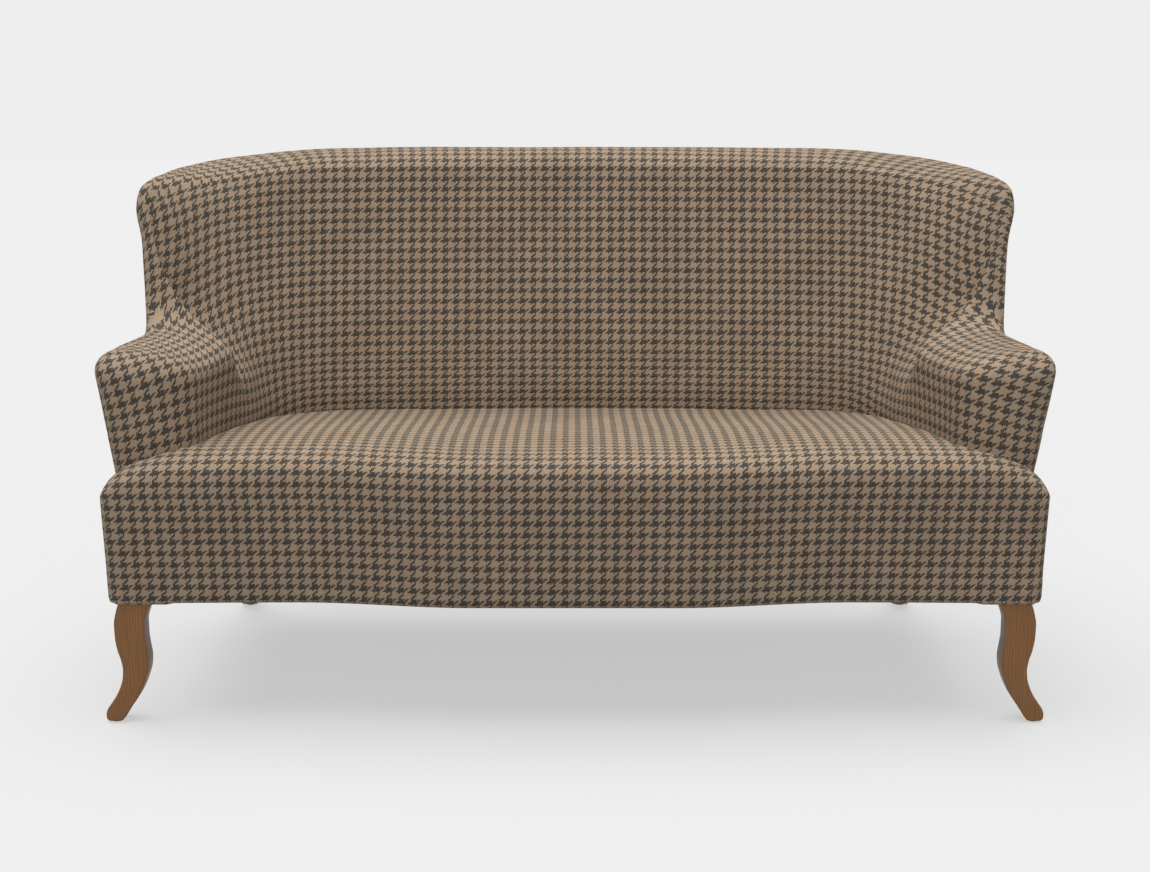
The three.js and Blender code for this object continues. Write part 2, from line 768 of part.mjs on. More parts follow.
const level = (height) => () => height;
const underRim = (drop) => (station) => ridgeHeight(station) - frameBelowCrest - drop;
const [postStart, postEnd] = postShares;
const gapShare = fitGap * stationPerMillimetre;
const crestRail = { bottomAt: underRim(crestRailDepth), topAt: underRim(0), rowShares: [0.5] };
const rimRail = { bottomAt: underRim(rimRailDepth), topAt: underRim(0), rowShares: [0.5] };
const seatRail = { bottomAt: level(railBottom), topAt: level(railTop) };
const lowerRail = { bottomAt: level(lowerRailBottom), topAt: level(lowerRailTop) };
const tackRail = { bottomAt: level(tackRailBottom), topAt: level(tackRailTop) };
const underCrestRail = underRim(crestRailDepth + fitGap);
const underRimRail = underRim(rimRailDepth + fitGap);
const acrossBack = { from: gapShare - postStart, to: postStart - gapShare };
const behindPost = { from: postEnd + gapShare, to: armPostShare };
const upright = { from: -uprightShare, to: uprightShare };

const backBoards = {
  crest_rail: { ...crestRail, ...acrossBack },
  lower_back_rail: { ...lowerRail, ...acrossBack },
  back_seat_rail: { ...seatRail, ...acrossBack },
  lower_back_upright: {
    ...upright,
    bottomAt: level(railTop + fitGap),
    topAt: level(lowerRailBottom - fitGap),
  },
  upper_back_upright: {
    ...upright,
    bottomAt: level(lowerRailTop + fitGap),
    topAt: underCrestRail,
    rowShares: postRowShares,
  },
};
const sideBoards = {
  back_post: {
    from: postStart,
    to: postEnd,
    bottomAt: level(railBottom),
    topAt: underRim(0),
    rowShares: postRowShares,
  },
  wing_rail: {
    ...rimRail,
    from: postEnd + gapShare,
    to: armPadShare - gapShare,
    bottomAt: (station) => underRim(rimRailDepth)(station + wingNeckShare),
  },
  arm_rail: { ...rimRail, from: armPadShare, to: lastStation - gapShare },
  arm_post: {
    from: armPostShare + gapShare,
    to: lastStation - gapShare,
    bottomAt: level(railBottom),
    topAt: underRimRail,
  },
  side_seat_rail: { ...seatRail, ...behindPost },
  arm_tacking_rail: { ...tackRail, ...behindPost },
};

// Webs of the back, stretched from the lower rail up to the crest rail
const backWebs = backWebShares.map((share) => ({
  from: share - webHalfShare,
  to: share + webHalfShare,
  bottomAt: level(lowerRailTop - webOnRail),
  topAt: underRim(crestRailDepth - webOnRail),
  rowShares: webRowShares,
  web: webThickness,
}));

const bothRooms = (spec) => bothSolids(board(spec, fitGap));
const boardRooms = [
  ...Object.values(backBoards).map((spec) => board(spec, fitGap)),
  ...Object.values(sideBoards).map(bothRooms),
];
const webRooms = backWebs.map(bothRooms);

function without(solid, cuts) {
  return cuts.reduce((left, cut) => left.subtract(cut), solid);
}

// Seat frame inside the padded border

const tubCore = tubSolid({ ...core, inside: core.inside - fitGap }, hemHeight - cutOverrun);
const behindFrontRail = seatSolid(frontPadding + fitGap + frontRailThickness + fitGap, 0);
const frontRail = mainBody(seatSolid(frontPadding + fitGap, railBottom - cutOverrun)
  .subtract(seatSolid(frontPadding + fitGap + frontRailThickness, 0))
  .subtract(besideEars(clothThickness + 2 * fitGap))
  .intersect(slab(railBottom, railTop)));

function seatFramePiece(lowX, highX, lowY, highY, top) {
  const piece = toSolid(boxGeometry(lowX, highX, lowY, highY, railBottom, top));
  return mainBody(without(piece.intersect(behindFrontRail), [tubCore, ...boardRooms]));
}

const stretcherTop = railTop - stretcherDrop;
const halfStretcher = stretcherWidth / 2;
const stretcher = seatFramePiece(-halfStretcher, halfStretcher, -farAway, farAway, stretcherTop);
const blockHighX = earInsideX - cutOverrun;
const frontBlock = seatFramePiece(
  blockHighX - cornerBlockWidth,
  blockHighX,
  -farAway,
  armFrontY + cornerBlockLength,
  railTop,
);
const cornerEnd = insidePlan(2).place;
const rearBlock = seatFramePiece(
  cornerStartX,
  outsideSideX,
  cornerEnd.y + cornerRadius / 4,
  farAway,
  railTop,
);

// Legs and their bolts, which go up into the front rail and the back posts

const frontBoltX = frontLegReach;
const frontBoltY = frontLine(frontBoltX) + frontPadding + fitGap + frontRailThickness / 2;
const boltBottom = legTop - boltInLeg;
const frontBolt = uprightRod(boltRadius, boltLength, frontBoltX, frontBoltY, boltBottom);
const rearBolt = uprightRod(boltRadius, boltLength, rearLegTopX, rearLegTopY, boltBottom);
const boltHole = (x, y) => toSolid(uprightRod(
  boltRadius + fitGap,
  boltLength + 2 * fitGap,
  x,
  y,
  boltBottom - fitGap,
));
const boltHoles = bothSolids(boltHole(frontBoltX, frontBoltY).add(boltHole(rearLegTopX, rearLegTopY)));

function legHole(lowX, highX, lowY, highY) {
  const gap = legHoleGap;
  return toSolid(boxGeometry(lowX - gap, highX + gap, lowY - gap, highY + gap, 0, railBottom));
}

const halfRearTop = rearLegTopWidth / 2;
const legRowHeight = ([share]) => mix(legFoot, legTop, share);
const firstInHem = frontLegShares.findLastIndex((row) => legRowHeight(row) <= hemHeight);
const frontLegTop = frontLegShares.slice(firstInHem);
const legHoles = bothSolids(legHole(
  frontLegReach + frontLegWidth * Math.min(...frontLegTop.map((row) => row[2])),
  frontLegReach + frontLegWidth * Math.max(...frontLegTop.map((row) => row[1])),
  frontLegFaceY,
  frontLegFaceY + frontLegDepth,
).add(legHole(
  rearLegTopX - halfRearTop,
  rearLegTopX + halfRearTop,
  rearLegTopY - halfRearTop,
  rearLegTopY + halfRearTop + rearLegSpring / 2,
)));

// Suspension of the seat: webs front to back, webs across them, and hessian over both

const webTop = railTop + fitGap + webThickness;
const crossTop = webTop + fitGap + webThickness;
const hessianTop = crossTop + fitGap + hessianThickness;
const deckHeight = hessianTop + fitGap;
const insideFloor = deckHeight + clothThickness;

// Middle of the tub's wall at the hem, beside the arm's straight stretch
function wallMiddleX(y) {
  return mix(cornerEnd.x + (cornerEnd.y - y) / Math.tan(armTurn), outerSideX(y), frameDepthShare);
}

function seatWeb(index) {
  const x = (index - (seatWebCount - 1) / 2) * seatWebPitch;
  const front = frontLine(x) + frontPadding + webOnRail / 2;
  const back = mix(insideBackY, outsideBackY, frameDepthShare) + webOnRail;
  const halfWeb = webWidth / 2;
  return boxGeometry(x - halfWeb, x + halfWeb, front, back, railTop + fitGap, webTop);
}

function crossWeb(index) {
  const back = crossWebBackY - index * crossWebPitch;
  const reach = wallMiddleX(back) + webOnRail;
  return boxGeometry(-reach, reach, back - webWidth, back, webTop + fitGap, crossTop);
}

// A flat sheet from the right half of its outline, front first
function sheet(half, thickness, bottom) {
  const mirror = half.slice(1, -1).map(([x, y]) => [-x, y]).reverse();
  const outline = new THREE.Shape([...half, ...mirror].map(([x, y]) => new THREE.Vector2(x, y)));
  const solid = new THREE.ExtrudeGeometry(outline, { depth: thickness, bevelEnabled: false });
  solid.translate(0, 0, bottom);
  return toSolid(solid);
}

function hessianOutline() {
  const front = acrossShares.map((share) => {
    const x = (earInsideX - 2 * webOnRail) * share;
    return [x, frontLine(x) + frontPadding + webOnRail / 2];
  });
  const side = stations.slice(0, -1).reverse().map((station) => {
    const section = wallSection(station, core);
    const point = section.at(section.insideAt(railTop) + webOnRail, railTop);
    return [point.x, point.y];
  });
  return [...front, ...side];
}

const hessian = without(sheet(hessianOutline(), hessianThickness, crossTop + fitGap), boardRooms);

// Covers and linings of the tub. The inside cover ends on the seat rails; only the outer half
// of the arm's nose goes down to the hem. The panels outside start at the seam.

function coverFloor(loop) {
  return mix(insideFloor, hemHeight, within([lastStation + 1 / 2, lastStation + 1], loop));
}

function wrapPatches(from, to) {
  const run = [from, ...stations.filter((station) => station > from && station < to), to];
  const nose = to === lastStation ? bothPatches(noseShares, rows) : [];
  const strip = bothPatches(run.map((s) => loopEnd - s).reverse(), rows.filter((row) => row >= seamShare));
  return [...bothPatches(run, rows), ...nose, ...strip];
}

function panelLoop(from, to) {
  return [from, ...outsideLoop.filter((place) => place > from && place < to), to];
}

// Outside panels of the back and of an arm, up to a share of the way to the ridge
function outsidePanels(topShare) {
  const panelRows = [...faceShares.filter((row) => row < topShare), topShare];
  return {
    back: bothPatches(panelLoop(loopEnd - cornerSeamShare + gapShare, loopEnd), panelRows),
    arm: [patch(panelLoop(lastStation + 1 + gapShare, loopEnd - cornerSeamShare), panelRows, 1)],
  };
}

const coverPanels = outsidePanels(seamShare - gapShare);
const liningPanels = outsidePanels(seamShare - liningDropShare);

function rightHalf(patches) {
  return patches.filter((columns) => columns[0][0][2] > 0);
}

// Pads are pressed against the boards and webs, so places for these are cut out of them
function pad(patches, floorAt) {
  const solid = toSolid(shell(patches, padFace, core, floorAt));
  return mainBody(without(solid, [...boardRooms, ...webRooms]));
}

const seatBlock = seatSolid(clothThickness + fitGap, railBottom)
  .subtract(besideEars(clothThickness + fitGap));
const underDeck = seatSolid(frontPadding, 0).intersect(slab(0, deckHeight));
// The seat keeps clear of the whole tub and of the inside cover, whose rows start higher
const tubGrown = tubSolid(grown, hemHeight - cutOverrun).add(tubSolid(grown, insideFloor));
const seatPad = mainBody(seatBlock.subtract(underDeck).subtract(tubGrown));
const seatCover = mainBody(seatSolid(0, hemHeight)
  .subtract(besideEars(0))
  .subtract(seatSolid(clothThickness, 0).subtract(besideEars(clothThickness)))
  .subtract(tubGrown)
  .subtract(legHoles));

// Linings close the outside of the frame, under the outside covers
function lining(patches) {
  const solid = toSolid(shell(patches, stuffed, liningInside, level(hemHeight)));
  return toGeometry(mainBody(without(solid.intersect(slab(railBottom, farAway)), boardRooms)));
}

function panelCover(patches) {
  return shell(patches, outerSkin, clothInside, level(hemHeight));
}

// Black cloth under the settee, cut to the hem and round the legs
function dustOutline() {
  const skin = movedIn(dustSetIn);
  const half = seatHalfWidth - dustSetIn - (borderHeight - hemHeight) * sideLean;
  const frontEdge = acrossShares.map((share) => {
    const x = half * share;
    return [x, frontLine(x) + dustSetIn + (borderHeight - hemHeight) * frontLean];
  });
  const earBack = armFrontY - fitGap - dustSetIn;
  const neck = earInsideX - dustSetIn;
  const front = wallSection(lastStation, skin);
  const nose = dustNoseShares.map((share) => nosePoint(front, share, hemHeight, skin));
  const outside = stations.slice().reverse().map((station) => {
    const section = wallSection(station, skin);
    return section.at(section.outsideAt(hemHeight), hemHeight);
  });
  const side = [...nose, ...outside].map((point) => [point.x, point.y]);
  return [...frontEdge, [half, earBack], [neck, earBack], [neck, side[0][1]], ...side];
}

const dust = sheet(dustOutline(), dustThickness, legTop - dustThickness);

// All pieces, from the floor up

addPair('front_glide', uprightRod(glideRadius, glideHeight, frontGlideX, frontBoltY, 0), nylon);
addPair('rear_glide', uprightRod(glideRadius, glideHeight, rearLegFootX, rearLegFootY, 0), nylon);
addPair('front_leg', toGeometry(frontLeg().subtract(boltHoles)), walnut);
addPair('rear_leg', toGeometry(rearLeg().subtract(boltHoles)), walnut);
addPair('front_leg_bolt', frontBolt, steel);
addPair('rear_leg_bolt', rearBolt, steel);
addMesh('dust_cover', toGeometry(mainBody(dust.subtract(legHoles))), dustCloth);
addMesh('front_seat_rail', toGeometry(frontRail.subtract(boltHoles)), beech);
addMesh('seat_stretcher', toGeometry(stretcher), beech);
addPair('front_corner_block', toGeometry(frontBlock), beech);
addPair('rear_corner_block', toGeometry(rearBlock), beech);
for (const [name, spec] of Object.entries(backBoards)) {
  addMesh(name, toGeometry(board(spec)), beech);
}
for (const [name, spec] of Object.entries(sideBoards)) {
  addPair(name, toGeometry(board(spec).subtract(boltHoles)), beech);
}
backWebs.forEach((spec, i) => {
  addPair(`back_web_${i + 1}`, toGeometry(without(board(spec), boardRooms)), jute);
});
for (let i = 0; i < seatWebCount; i += 1) addMesh(`seat_web_${i + 1}`, seatWeb(i), jute);
for (let i = 0; i < crossWebCount; i += 1) addMesh(`cross_web_${i + 1}`, crossWeb(i), jute);
addMesh('seat_hessian', toGeometry(hessian), jute);
addMesh('seat_pad', toGeometry(seatPad), wadding);
addMesh('back_pad', toGeometry(pad(wrapPatches(0, armPadShare - gapShare), coverFloor)), wadding);
const armPatches = rightHalf(wrapPatches(armPadShare, lastStation));
addPair('arm_pad', toGeometry(pad(armPatches, level(insideFloor))), wadding);
addMesh('outside_back_lining', lining(liningPanels.back), jute);
addPair('outside_arm_lining', lining(liningPanels.arm), jute);
addMesh('seat_cover', toGeometry(seatCover), cloth);
addMesh('inside_cover', shell(wrapPatches(0, lastStation), outerSkin, clothInside, coverFloor), cloth);
addMesh('outside_back_cover', panelCover(coverPanels.back), cloth);
addPair('outside_arm_cover', panelCover(coverPanels.arm), cloth);

export default settee;
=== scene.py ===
# %% [markdown]
# # A high back settee in houndstooth wool
# The settee is an upholstered beech frame on two sawn front legs and two plain rear ones. The frame,
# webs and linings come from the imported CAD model. What the eye meets, which is cloth, seams, legs and
# floor, is made here in the same frame: metres, +X to the right, +Y to the back, +Z up.

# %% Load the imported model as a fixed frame
import math

import bmesh
import bpy
import numpy as np
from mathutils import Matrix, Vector, noise
from mathutils.kdtree import KDTree


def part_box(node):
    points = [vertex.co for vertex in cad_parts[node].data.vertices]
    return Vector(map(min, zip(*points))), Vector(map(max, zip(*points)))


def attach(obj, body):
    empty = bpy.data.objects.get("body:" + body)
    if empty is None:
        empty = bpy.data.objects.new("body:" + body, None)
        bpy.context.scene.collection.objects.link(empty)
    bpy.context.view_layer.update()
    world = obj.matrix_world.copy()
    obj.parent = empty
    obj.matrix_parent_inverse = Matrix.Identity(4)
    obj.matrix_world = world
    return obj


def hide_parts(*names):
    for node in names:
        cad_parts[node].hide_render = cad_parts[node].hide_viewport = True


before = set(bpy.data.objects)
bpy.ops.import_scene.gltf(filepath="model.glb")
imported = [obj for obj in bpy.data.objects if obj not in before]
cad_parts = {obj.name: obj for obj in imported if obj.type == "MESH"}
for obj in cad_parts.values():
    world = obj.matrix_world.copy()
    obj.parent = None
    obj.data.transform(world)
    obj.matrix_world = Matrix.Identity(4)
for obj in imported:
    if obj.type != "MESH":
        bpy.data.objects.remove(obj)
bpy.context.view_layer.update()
MM = 0.001
print("nodes in the frame:", len(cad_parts))

# %% [markdown]
# The camera comes first, because every later choice is judged through it. The photograph was taken
# from straight in front, with the lens a little above the crest and tilted down by 12 degrees. A long
# lens from 3.7 m keeps the arms almost as large as the back.

# %% Camera
camera_data = bpy.data.cameras.new("camera")
camera_data.sensor_width = 36
camera_data.lens = 61.14
camera_data.clip_end = 100
camera = bpy.data.objects.new("camera", camera_data)
camera.location = (0, -3.654, 1.214)
camera.rotation_euler = (math.radians(78), 0, 0)
bpy.context.scene.collection.objects.link(camera)
bpy.context.scene.camera = camera
print("camera at", tuple(camera.location))

# %% [markdown]
# A floor that stays evenly pale needs light that doesn't fall off, so the key is a sun with a very
# wide angle, like a large softbox overhead. The world adds an even fill. The floor shows pale to the
# camera and to reflections, but throws little light back, so that the fronts stay darker than the
# tops, as in the photograph.

# %% Lamps, world and colour management
TOP_LIGHT = 2.95
FRONT_LIGHT = 0.85
FILL_LIGHT = 0.2


def linear(hex_colour):
    """Turn an sRGB hex colour into the linear values that shaders take."""
    parts = [int(hex_colour[k:k + 2], 16) / 255 for k in (1, 3, 5)]
    line = [p / 12.92 if p <= 0.04045 else ((p + 0.055) / 1.055) ** 2.4 for p in parts]
    return (*line, 1)


def sun(name, strength, angle, tilt):
    data = bpy.data.lights.new(name, "SUN")
    data.energy = strength
    data.angle = math.radians(angle)
    lamp = bpy.data.objects.new(name, data)
    lamp.rotation_euler = [math.radians(a) for a in tilt]
    bpy.context.scene.collection.objects.link(lamp)


sun("overhead_softbox", TOP_LIGHT, 70, (-5, -6, 0))
sun("front_fill", FRONT_LIGHT, 60, (72, 0, 0))
bpy.context.scene.view_settings.view_transform = "Standard"


def add(tree, kind, sockets=(), out=None, **settings):
    """Add a node, set its properties, link or set its sockets, and give back one of its outputs."""
    node = tree.nodes.new("ShaderNode" + kind)
    for key, value in settings.items():
        setattr(node, key, value)
    for socket, value in (sockets if isinstance(sockets, dict) else dict(enumerate(sockets))).items():
        if isinstance(value, bpy.types.NodeSocket):
            tree.links.new(value, node.inputs[socket])
        else:
            node.inputs[socket].default_value = value
    in_use = [output for output in node.outputs if output.enabled]
    return node.outputs[out] if out else in_use[0] if in_use else None


def seen_directly(tree):
    """1 for rays from the camera, from gloss and through glass, and 0 for the rest."""
    seen = 0
    for ray in ("Is Camera Ray", "Is Glossy Ray", "Is Transmission Ray"):
        seen = add(tree, "Math", (seen, add(tree, "LightPath", out=ray)), operation="MAXIMUM")
    return seen


BACKDROP_GREY = "#eeeeee"
world = bpy.data.worlds.new("studio")
bpy.context.scene.world = world
world.use_nodes = True
tree = world.node_tree
tree.nodes.clear()
fill = add(tree, "Background", {"Color": linear("#ffffff"), "Strength": FILL_LIGHT})
shown = add(tree, "Background", {"Color": linear(BACKDROP_GREY), "Strength": 1})
both = add(tree, "MixShader", (seen_directly(tree), fill, shown))
add(tree, "OutputWorld", {"Surface": both})
print("lamps:", TOP_LIGHT, FRONT_LIGHT, "fill:", FILL_LIGHT)

# %% [markdown]
# The floor is a painted studio floor, a plain grid. To the camera it is mostly its own pale grey, and a
# share of real shading on top lets the soft shadow under the settee through.

# %% Floor
SHADOW_SHARE = 0.39
FLOOR_SIZE = 14


def new_object(name, form, material=None, smooth=True):
    """Turn a bmesh into an object at the origin."""
    mesh = bpy.data.meshes.new(name)
    form.to_mesh(mesh)
    form.free()
    if smooth:
        mesh.shade_smooth()
    piece = bpy.data.objects.new(name, mesh)
    bpy.context.scene.collection.objects.link(piece)
    if material:
        mesh.materials.append(material)
    return piece


def new_material(name):
    """An empty node material, ready for nodes."""
    material = bpy.data.materials.new(name)
    material.use_nodes = True
    material.node_tree.nodes.clear()
    return material, material.node_tree


painted, tree = new_material("painted_studio_floor")
matte = add(tree, "BsdfDiffuse", {"Color": linear("#dedede")})
bounce = add(tree, "BsdfDiffuse", {"Color": linear("#8a8a8a")})
glow = add(tree, "Emission", {"Color": linear(BACKDROP_GREY), "Strength": 1})
pale = add(tree, "MixShader", (SHADOW_SHARE, glow, matte))
both = add(tree, "MixShader", (seen_directly(tree), bounce, pale))
add(tree, "OutputMaterial", {"Surface": both})
form = bmesh.new()
bmesh.ops.create_grid(form, x_segments=4, y_segments=4, size=FLOOR_SIZE)
floor = new_object("studio_floor", form, painted, smooth=False)
print("floor:", 2 * FLOOR_SIZE, "m wide")

# %% [markdown]
# ## The tub
# Back, wings and arms are one upholstered wall. A station runs along half of it: 0 is the middle of
# the back, 1 the start of the round corner, 2 the start of the arm and 3 the front of the arm. The
# same few rules as in the CAD model say where the inner face, the outer face and the ridge are, so
# the cloth lies where the frame is. All these sizes are in millimetres.

# %% Sizes of the tub
HEM, CREST, ARM = 224, 962, 653
BACK_Y, SIDE_X = 300, 763
ARM_FLARE, ARM_FLARE_Y, ARM_FLARE_POWER = 16, -60, 1.7
OUTER_CORNER = 130
BACK_RAKE, WING_RAKE, ARM_RAKE = 0.1815, 0.1, 0.176
INSIDE_Y, HOLLOW = 183, 30
CORNER_X, CORNER_R = 440, 190
ARM_TURN, NOSE_TURN = math.radians(77), math.radians(98)
ARM_FRONT_Y, ARM_NOSE, ARM_OUTER_NOSE = -339, 100, 30
LEAN_START, LEAN_HEIGHT = 489, 435
BACK_LEAN, WING_LEAN = 108, 192
LEAN_POWER = 1.2
SHOULDER_LOW, SHOULDER_HIGH, SHOULDER_SHARE = 545, 705, 0.62
CORNER_DRAW = 60
INSIDE_DROPS = (38, 20, 52)
ROLL_WIDTHS = (66, 16, 44)
OUTSIDE_DROP = 36
EDGE_FLARE, EDGE_REACH, STATION_RUN = 20, 62, 300
ROLL_HOLD = 0.5
WING_FLARE, FLARE_START, FLARE_HEIGHT = 10, 800, 70
ARM_NOSE_MIDDLE, ARM_NOSE_POWER = 0.18, 0.72
# Stretches of stations, as a start and a run: where the back turns into the wing and the wing into
# the arm, where the face sweeps out to the wing's lean, and where the shoulder above the arm sets in.
TO_WING, TO_ARM, TO_ARM_RAKE = (0.8, 1.2), (2.12, 0.33), (2.3, 0.7)
SWEEP_OUT, TO_SHOULDER = (1.3, 0.75), (1.7, 0.5)
A_LITTLE = 0.02
# The ridge's height at a station, as a share of the way from the arm to the crest.
RIDGE = [(0, 1), (0.6, 0.999), (1, 0.995), (1.12, 0.991), (1.25, 0.978), (1.4, 0.951), (1.5, 0.932),
         (1.6, 0.909), (1.76, 0.886), (1.9, 0.865), (2, 0.84), (2.07, 0.78), (2.13, 0.62),
         (2.18, 0.42), (2.22, 0.25), (2.26, 0.13), (2.32, 0.06), (2.45, 0.018), (3, 0)]


def mix(a, b, share):
    return a + (b - a) * share


def clamp(value, low=0.0, high=1.0):
    return min(high, max(low, value))


def ease(value, start=0, run=1):
    """A share that goes softly from 0 at the start to 1 at the end of the run."""
    s = clamp((value - start) / run)
    return s * s * (3 - 2 * s)


def smooth_table(rows, place):
    """Read rows of (place, value) along a curve that never overshoots."""
    if place <= rows[0][0]:
        return rows[0][1]
    if place >= rows[-1][0]:
        return rows[-1][1]
    k = next(i for i in range(len(rows) - 1) if place <= rows[i + 1][0])

    def slope(i):
        return (rows[i + 1][1] - rows[i][1]) / (rows[i + 1][0] - rows[i][0])

    def tangent(i):
        if i == 0 or i == len(rows) - 1 or slope(i - 1) * slope(i) <= 0:
            return 0
        return 2 * slope(i - 1) * slope(i) / (slope(i - 1) + slope(i))

    width = rows[k + 1][0] - rows[k][0]
    u = (place - rows[k][0]) / width
    value = rows[k][1] * (1 + 2 * u) * (1 - u) ** 2 + rows[k + 1][1] * u * u * (3 - 2 * u)
    return value + width * (tangent(k) * u * (1 - u) ** 2 - tangent(k + 1) * u * u * (1 - u))


print("rise of the ridge at the corner:", round(mix(ARM, CREST, smooth_table(RIDGE, 1.5))), "mm")

# %% [markdown]
# The plan of the inner face is a hollow back, an arc and a straight arm. The normal points out through
# the wall, and on the arm it swings forward to meet the nose. The reach is how thick the wall is.

# %% Plan and section of the tub
START_TURN = math.atan(2 * HOLLOW / CORNER_X)


def outwards(turn):
    return Vector((math.sin(turn), math.cos(turn)))


def on_arc(turn):
    return Vector((CORNER_X + CORNER_R * (math.sin(turn) - math.sin(START_TURN)),
                   INSIDE_Y - HOLLOW - CORNER_R * (math.cos(START_TURN) - math.cos(turn))))


def inside_plan(t):
    if t <= 1:
        place = Vector((CORNER_X * t, INSIDE_Y - HOLLOW * t * t))
        return place, outwards(math.atan(2 * HOLLOW * t / CORNER_X))
    if t <= 2:
        turn = mix(START_TURN, ARM_TURN, t - 1)
        return on_arc(turn), outwards(turn)
    start = on_arc(ARM_TURN)
    end_y = ARM_FRONT_Y + ARM_NOSE * (1 - math.cos(ARM_TURN))
    run = (t - 2) * (start.y - end_y) / math.sin(ARM_TURN)
    place = start + Vector((math.cos(ARM_TURN), -math.sin(ARM_TURN))) * run
    return place, outwards(mix(ARM_TURN, NOSE_TURN, ease(t - 2)))


def outer_side(y):
    share = max(0, ARM_FLARE_Y - y) / (ARM_FLARE_Y - ARM_FRONT_Y)
    return SIDE_X + ARM_FLARE * share ** ARM_FLARE_POWER


def wall_reach(place, normal):
    to_back = (BACK_Y - place.y) / normal.y if normal.y > 0 else math.inf
    to_side = 0
    for _ in range(8):
        if normal.x > 0:
            to_side = (outer_side(place.y + normal.y * to_side) - place.x) / normal.x
    reach = min(to_back, to_side) if normal.x > 0 else to_back
    centre = Vector((SIDE_X - OUTER_CORNER, BACK_Y - OUTER_CORNER))
    hit = place + normal * reach
    if hit.x < centre.x or hit.y < centre.y:
        return reach
    to_centre = centre - place
    along = to_centre.dot(normal)
    return along + math.sqrt(OUTER_CORNER ** 2 - to_centre.length_squared + along ** 2)


def ridge_height(t):
    return mix(ARM, CREST, smooth_table(RIDGE, t))


class Section:
    """An upright cut through the wall at a station."""

    def __init__(self, t):
        self.t = t
        self.place, self.normal = inside_plan(t)
        self.reach = wall_reach(self.place, self.normal)
        self.wing, self.arm = ease(t, *TO_WING), ease(t, *TO_ARM)
        self.rim = ridge_height(t)
        fall = (ridge_height(t - A_LITTLE) - ridge_height(t + A_LITTLE)) / (2 * A_LITTLE) / STATION_RUN
        self.edge_reach = EDGE_REACH * math.hypot(1, fall)
        self.edge_flare = EDGE_FLARE * self.wing * (1 - self.arm)
        self.inside_top = self.rim - self.roll_size(INSIDE_DROPS)
        self.outside_top = self.rim - OUTSIDE_DROP
        slope = self.inside(self.inside_top) - self.inside(self.inside_top - 1)
        drop = self.rim - self.inside_top
        over_inside = self.inside(self.inside_top) + slope * drop * ROLL_HOLD + 1
        self.ridge = max(self.outside(self.rim) - self.roll_size(ROLL_WIDTHS), over_inside)

    def roll_size(self, sizes):
        """Blend a size of the rim's roll from the back's to the wing's and the arm's."""
        return mix(mix(sizes[0], sizes[1], self.wing), sizes[2], self.arm)

    def inside(self, z):
        rise = max(0, z - LEAN_START) / LEAN_HEIGHT
        total = mix(BACK_LEAN, WING_LEAN, ease(self.t, *SWEEP_OUT)) * (1 - self.arm)
        shoulder = ease(z, SHOULDER_LOW, SHOULDER_HIGH - SHOULDER_LOW)
        by_shoulder = SHOULDER_SHARE * ease(self.t, *TO_SHOULDER)
        edge = self.edge_flare * ease(1 - (self.rim - z) / self.edge_reach)
        return total * mix(rise ** LEAN_POWER, shoulder, by_shoulder) + edge

    def outside(self, z):
        side_rake = mix(WING_RAKE, ARM_RAKE, ease(self.t, *TO_ARM_RAKE))
        rake = math.hypot(BACK_RAKE * self.normal.y, side_rake * self.normal.x)
        rake -= CORNER_DRAW / (CREST - HEM) * (2 * self.normal.x * self.normal.y) ** 2
        flare = WING_FLARE * ease(z, FLARE_START, FLARE_HEIGHT) * self.wing
        return self.reach + rake * (z - HEM) + flare

    def at(self, distance, z):
        place = self.place + self.normal * distance
        return Vector((place.x, place.y, z))


def nose_point(section, share, z):
    """The front of the arm, round from the inner face to the outer face."""
    inner = section.at(section.inside(z), z)
    outer = section.at(section.outside(z), z)
    middle = mix(outer.x, inner.x, ARM_NOSE_MIDDLE) - ARM_OUTER_NOSE
    angle = share * math.pi
    if share <= 0.5:
        near, forward, sideways = inner, math.sin(angle), math.cos(angle)
    else:
        near = outer
        forward, sideways = math.sin(angle) ** ARM_NOSE_POWER, (-math.cos(angle)) ** ARM_NOSE_POWER
    return Vector((mix(middle, near.x, sideways), mix(near.y, ARM_FRONT_Y, forward), z))


def roll_point(face, top, ridge, share):
    """A quarter roll that leaves the face along its slope and meets the ridge level."""
    start = face(top)
    slope = start - face(top - 1)
    over = Vector((start.x, start.y, ridge.z))
    lean = max(math.hypot(slope.x, slope.y), 1e-9)
    a = start + slope * min(ridge.z - start.z, (over - ridge).length / lean) * ROLL_HOLD
    b = ridge.lerp(over, ROLL_HOLD)
    left = 1 - share
    return start * left ** 3 + a * 3 * share * left ** 2 + b * 3 * share * share * left + ridge * share ** 3


def wall_point(loop, row, floor_z):
    """Loop 0 to 3 is the inside, 3 to 4 the nose and 4 to 7 the outside. Row 0 to 1 is the face and
    1 to 2 the roll up to the ridge."""
    section = Section(max(0, min(3, loop, 7 - loop)))
    share = clamp(loop - 3)

    def face(z):
        if share <= 0:
            return section.at(section.inside(z), z)
        if share >= 1:
            return section.at(section.outside(z), z)
        return nose_point(section, share, z)

    top = mix(section.inside_top, section.outside_top, share)
    if row <= 1:
        return face(mix(floor_z, top, row))
    return roll_point(face, top, section.at(section.ridge, section.rim), row - 1)


print("wall at the hem, middle of the back:", round(Section(0).reach), "mm thick")

# %% [markdown]
# ## The inside cover
# One piece of cloth covers the inside of the back, wings and arms, goes over the rim and ends in a
# seam on the outside. It is a grid whose points are moved onto the wall. The columns run from one arm
# to the other, and the rows go up the inside, over the ridge and down the outside. At the front of an
# arm the columns go on round the nose and meet at the ridge, where a dart would be sewn.

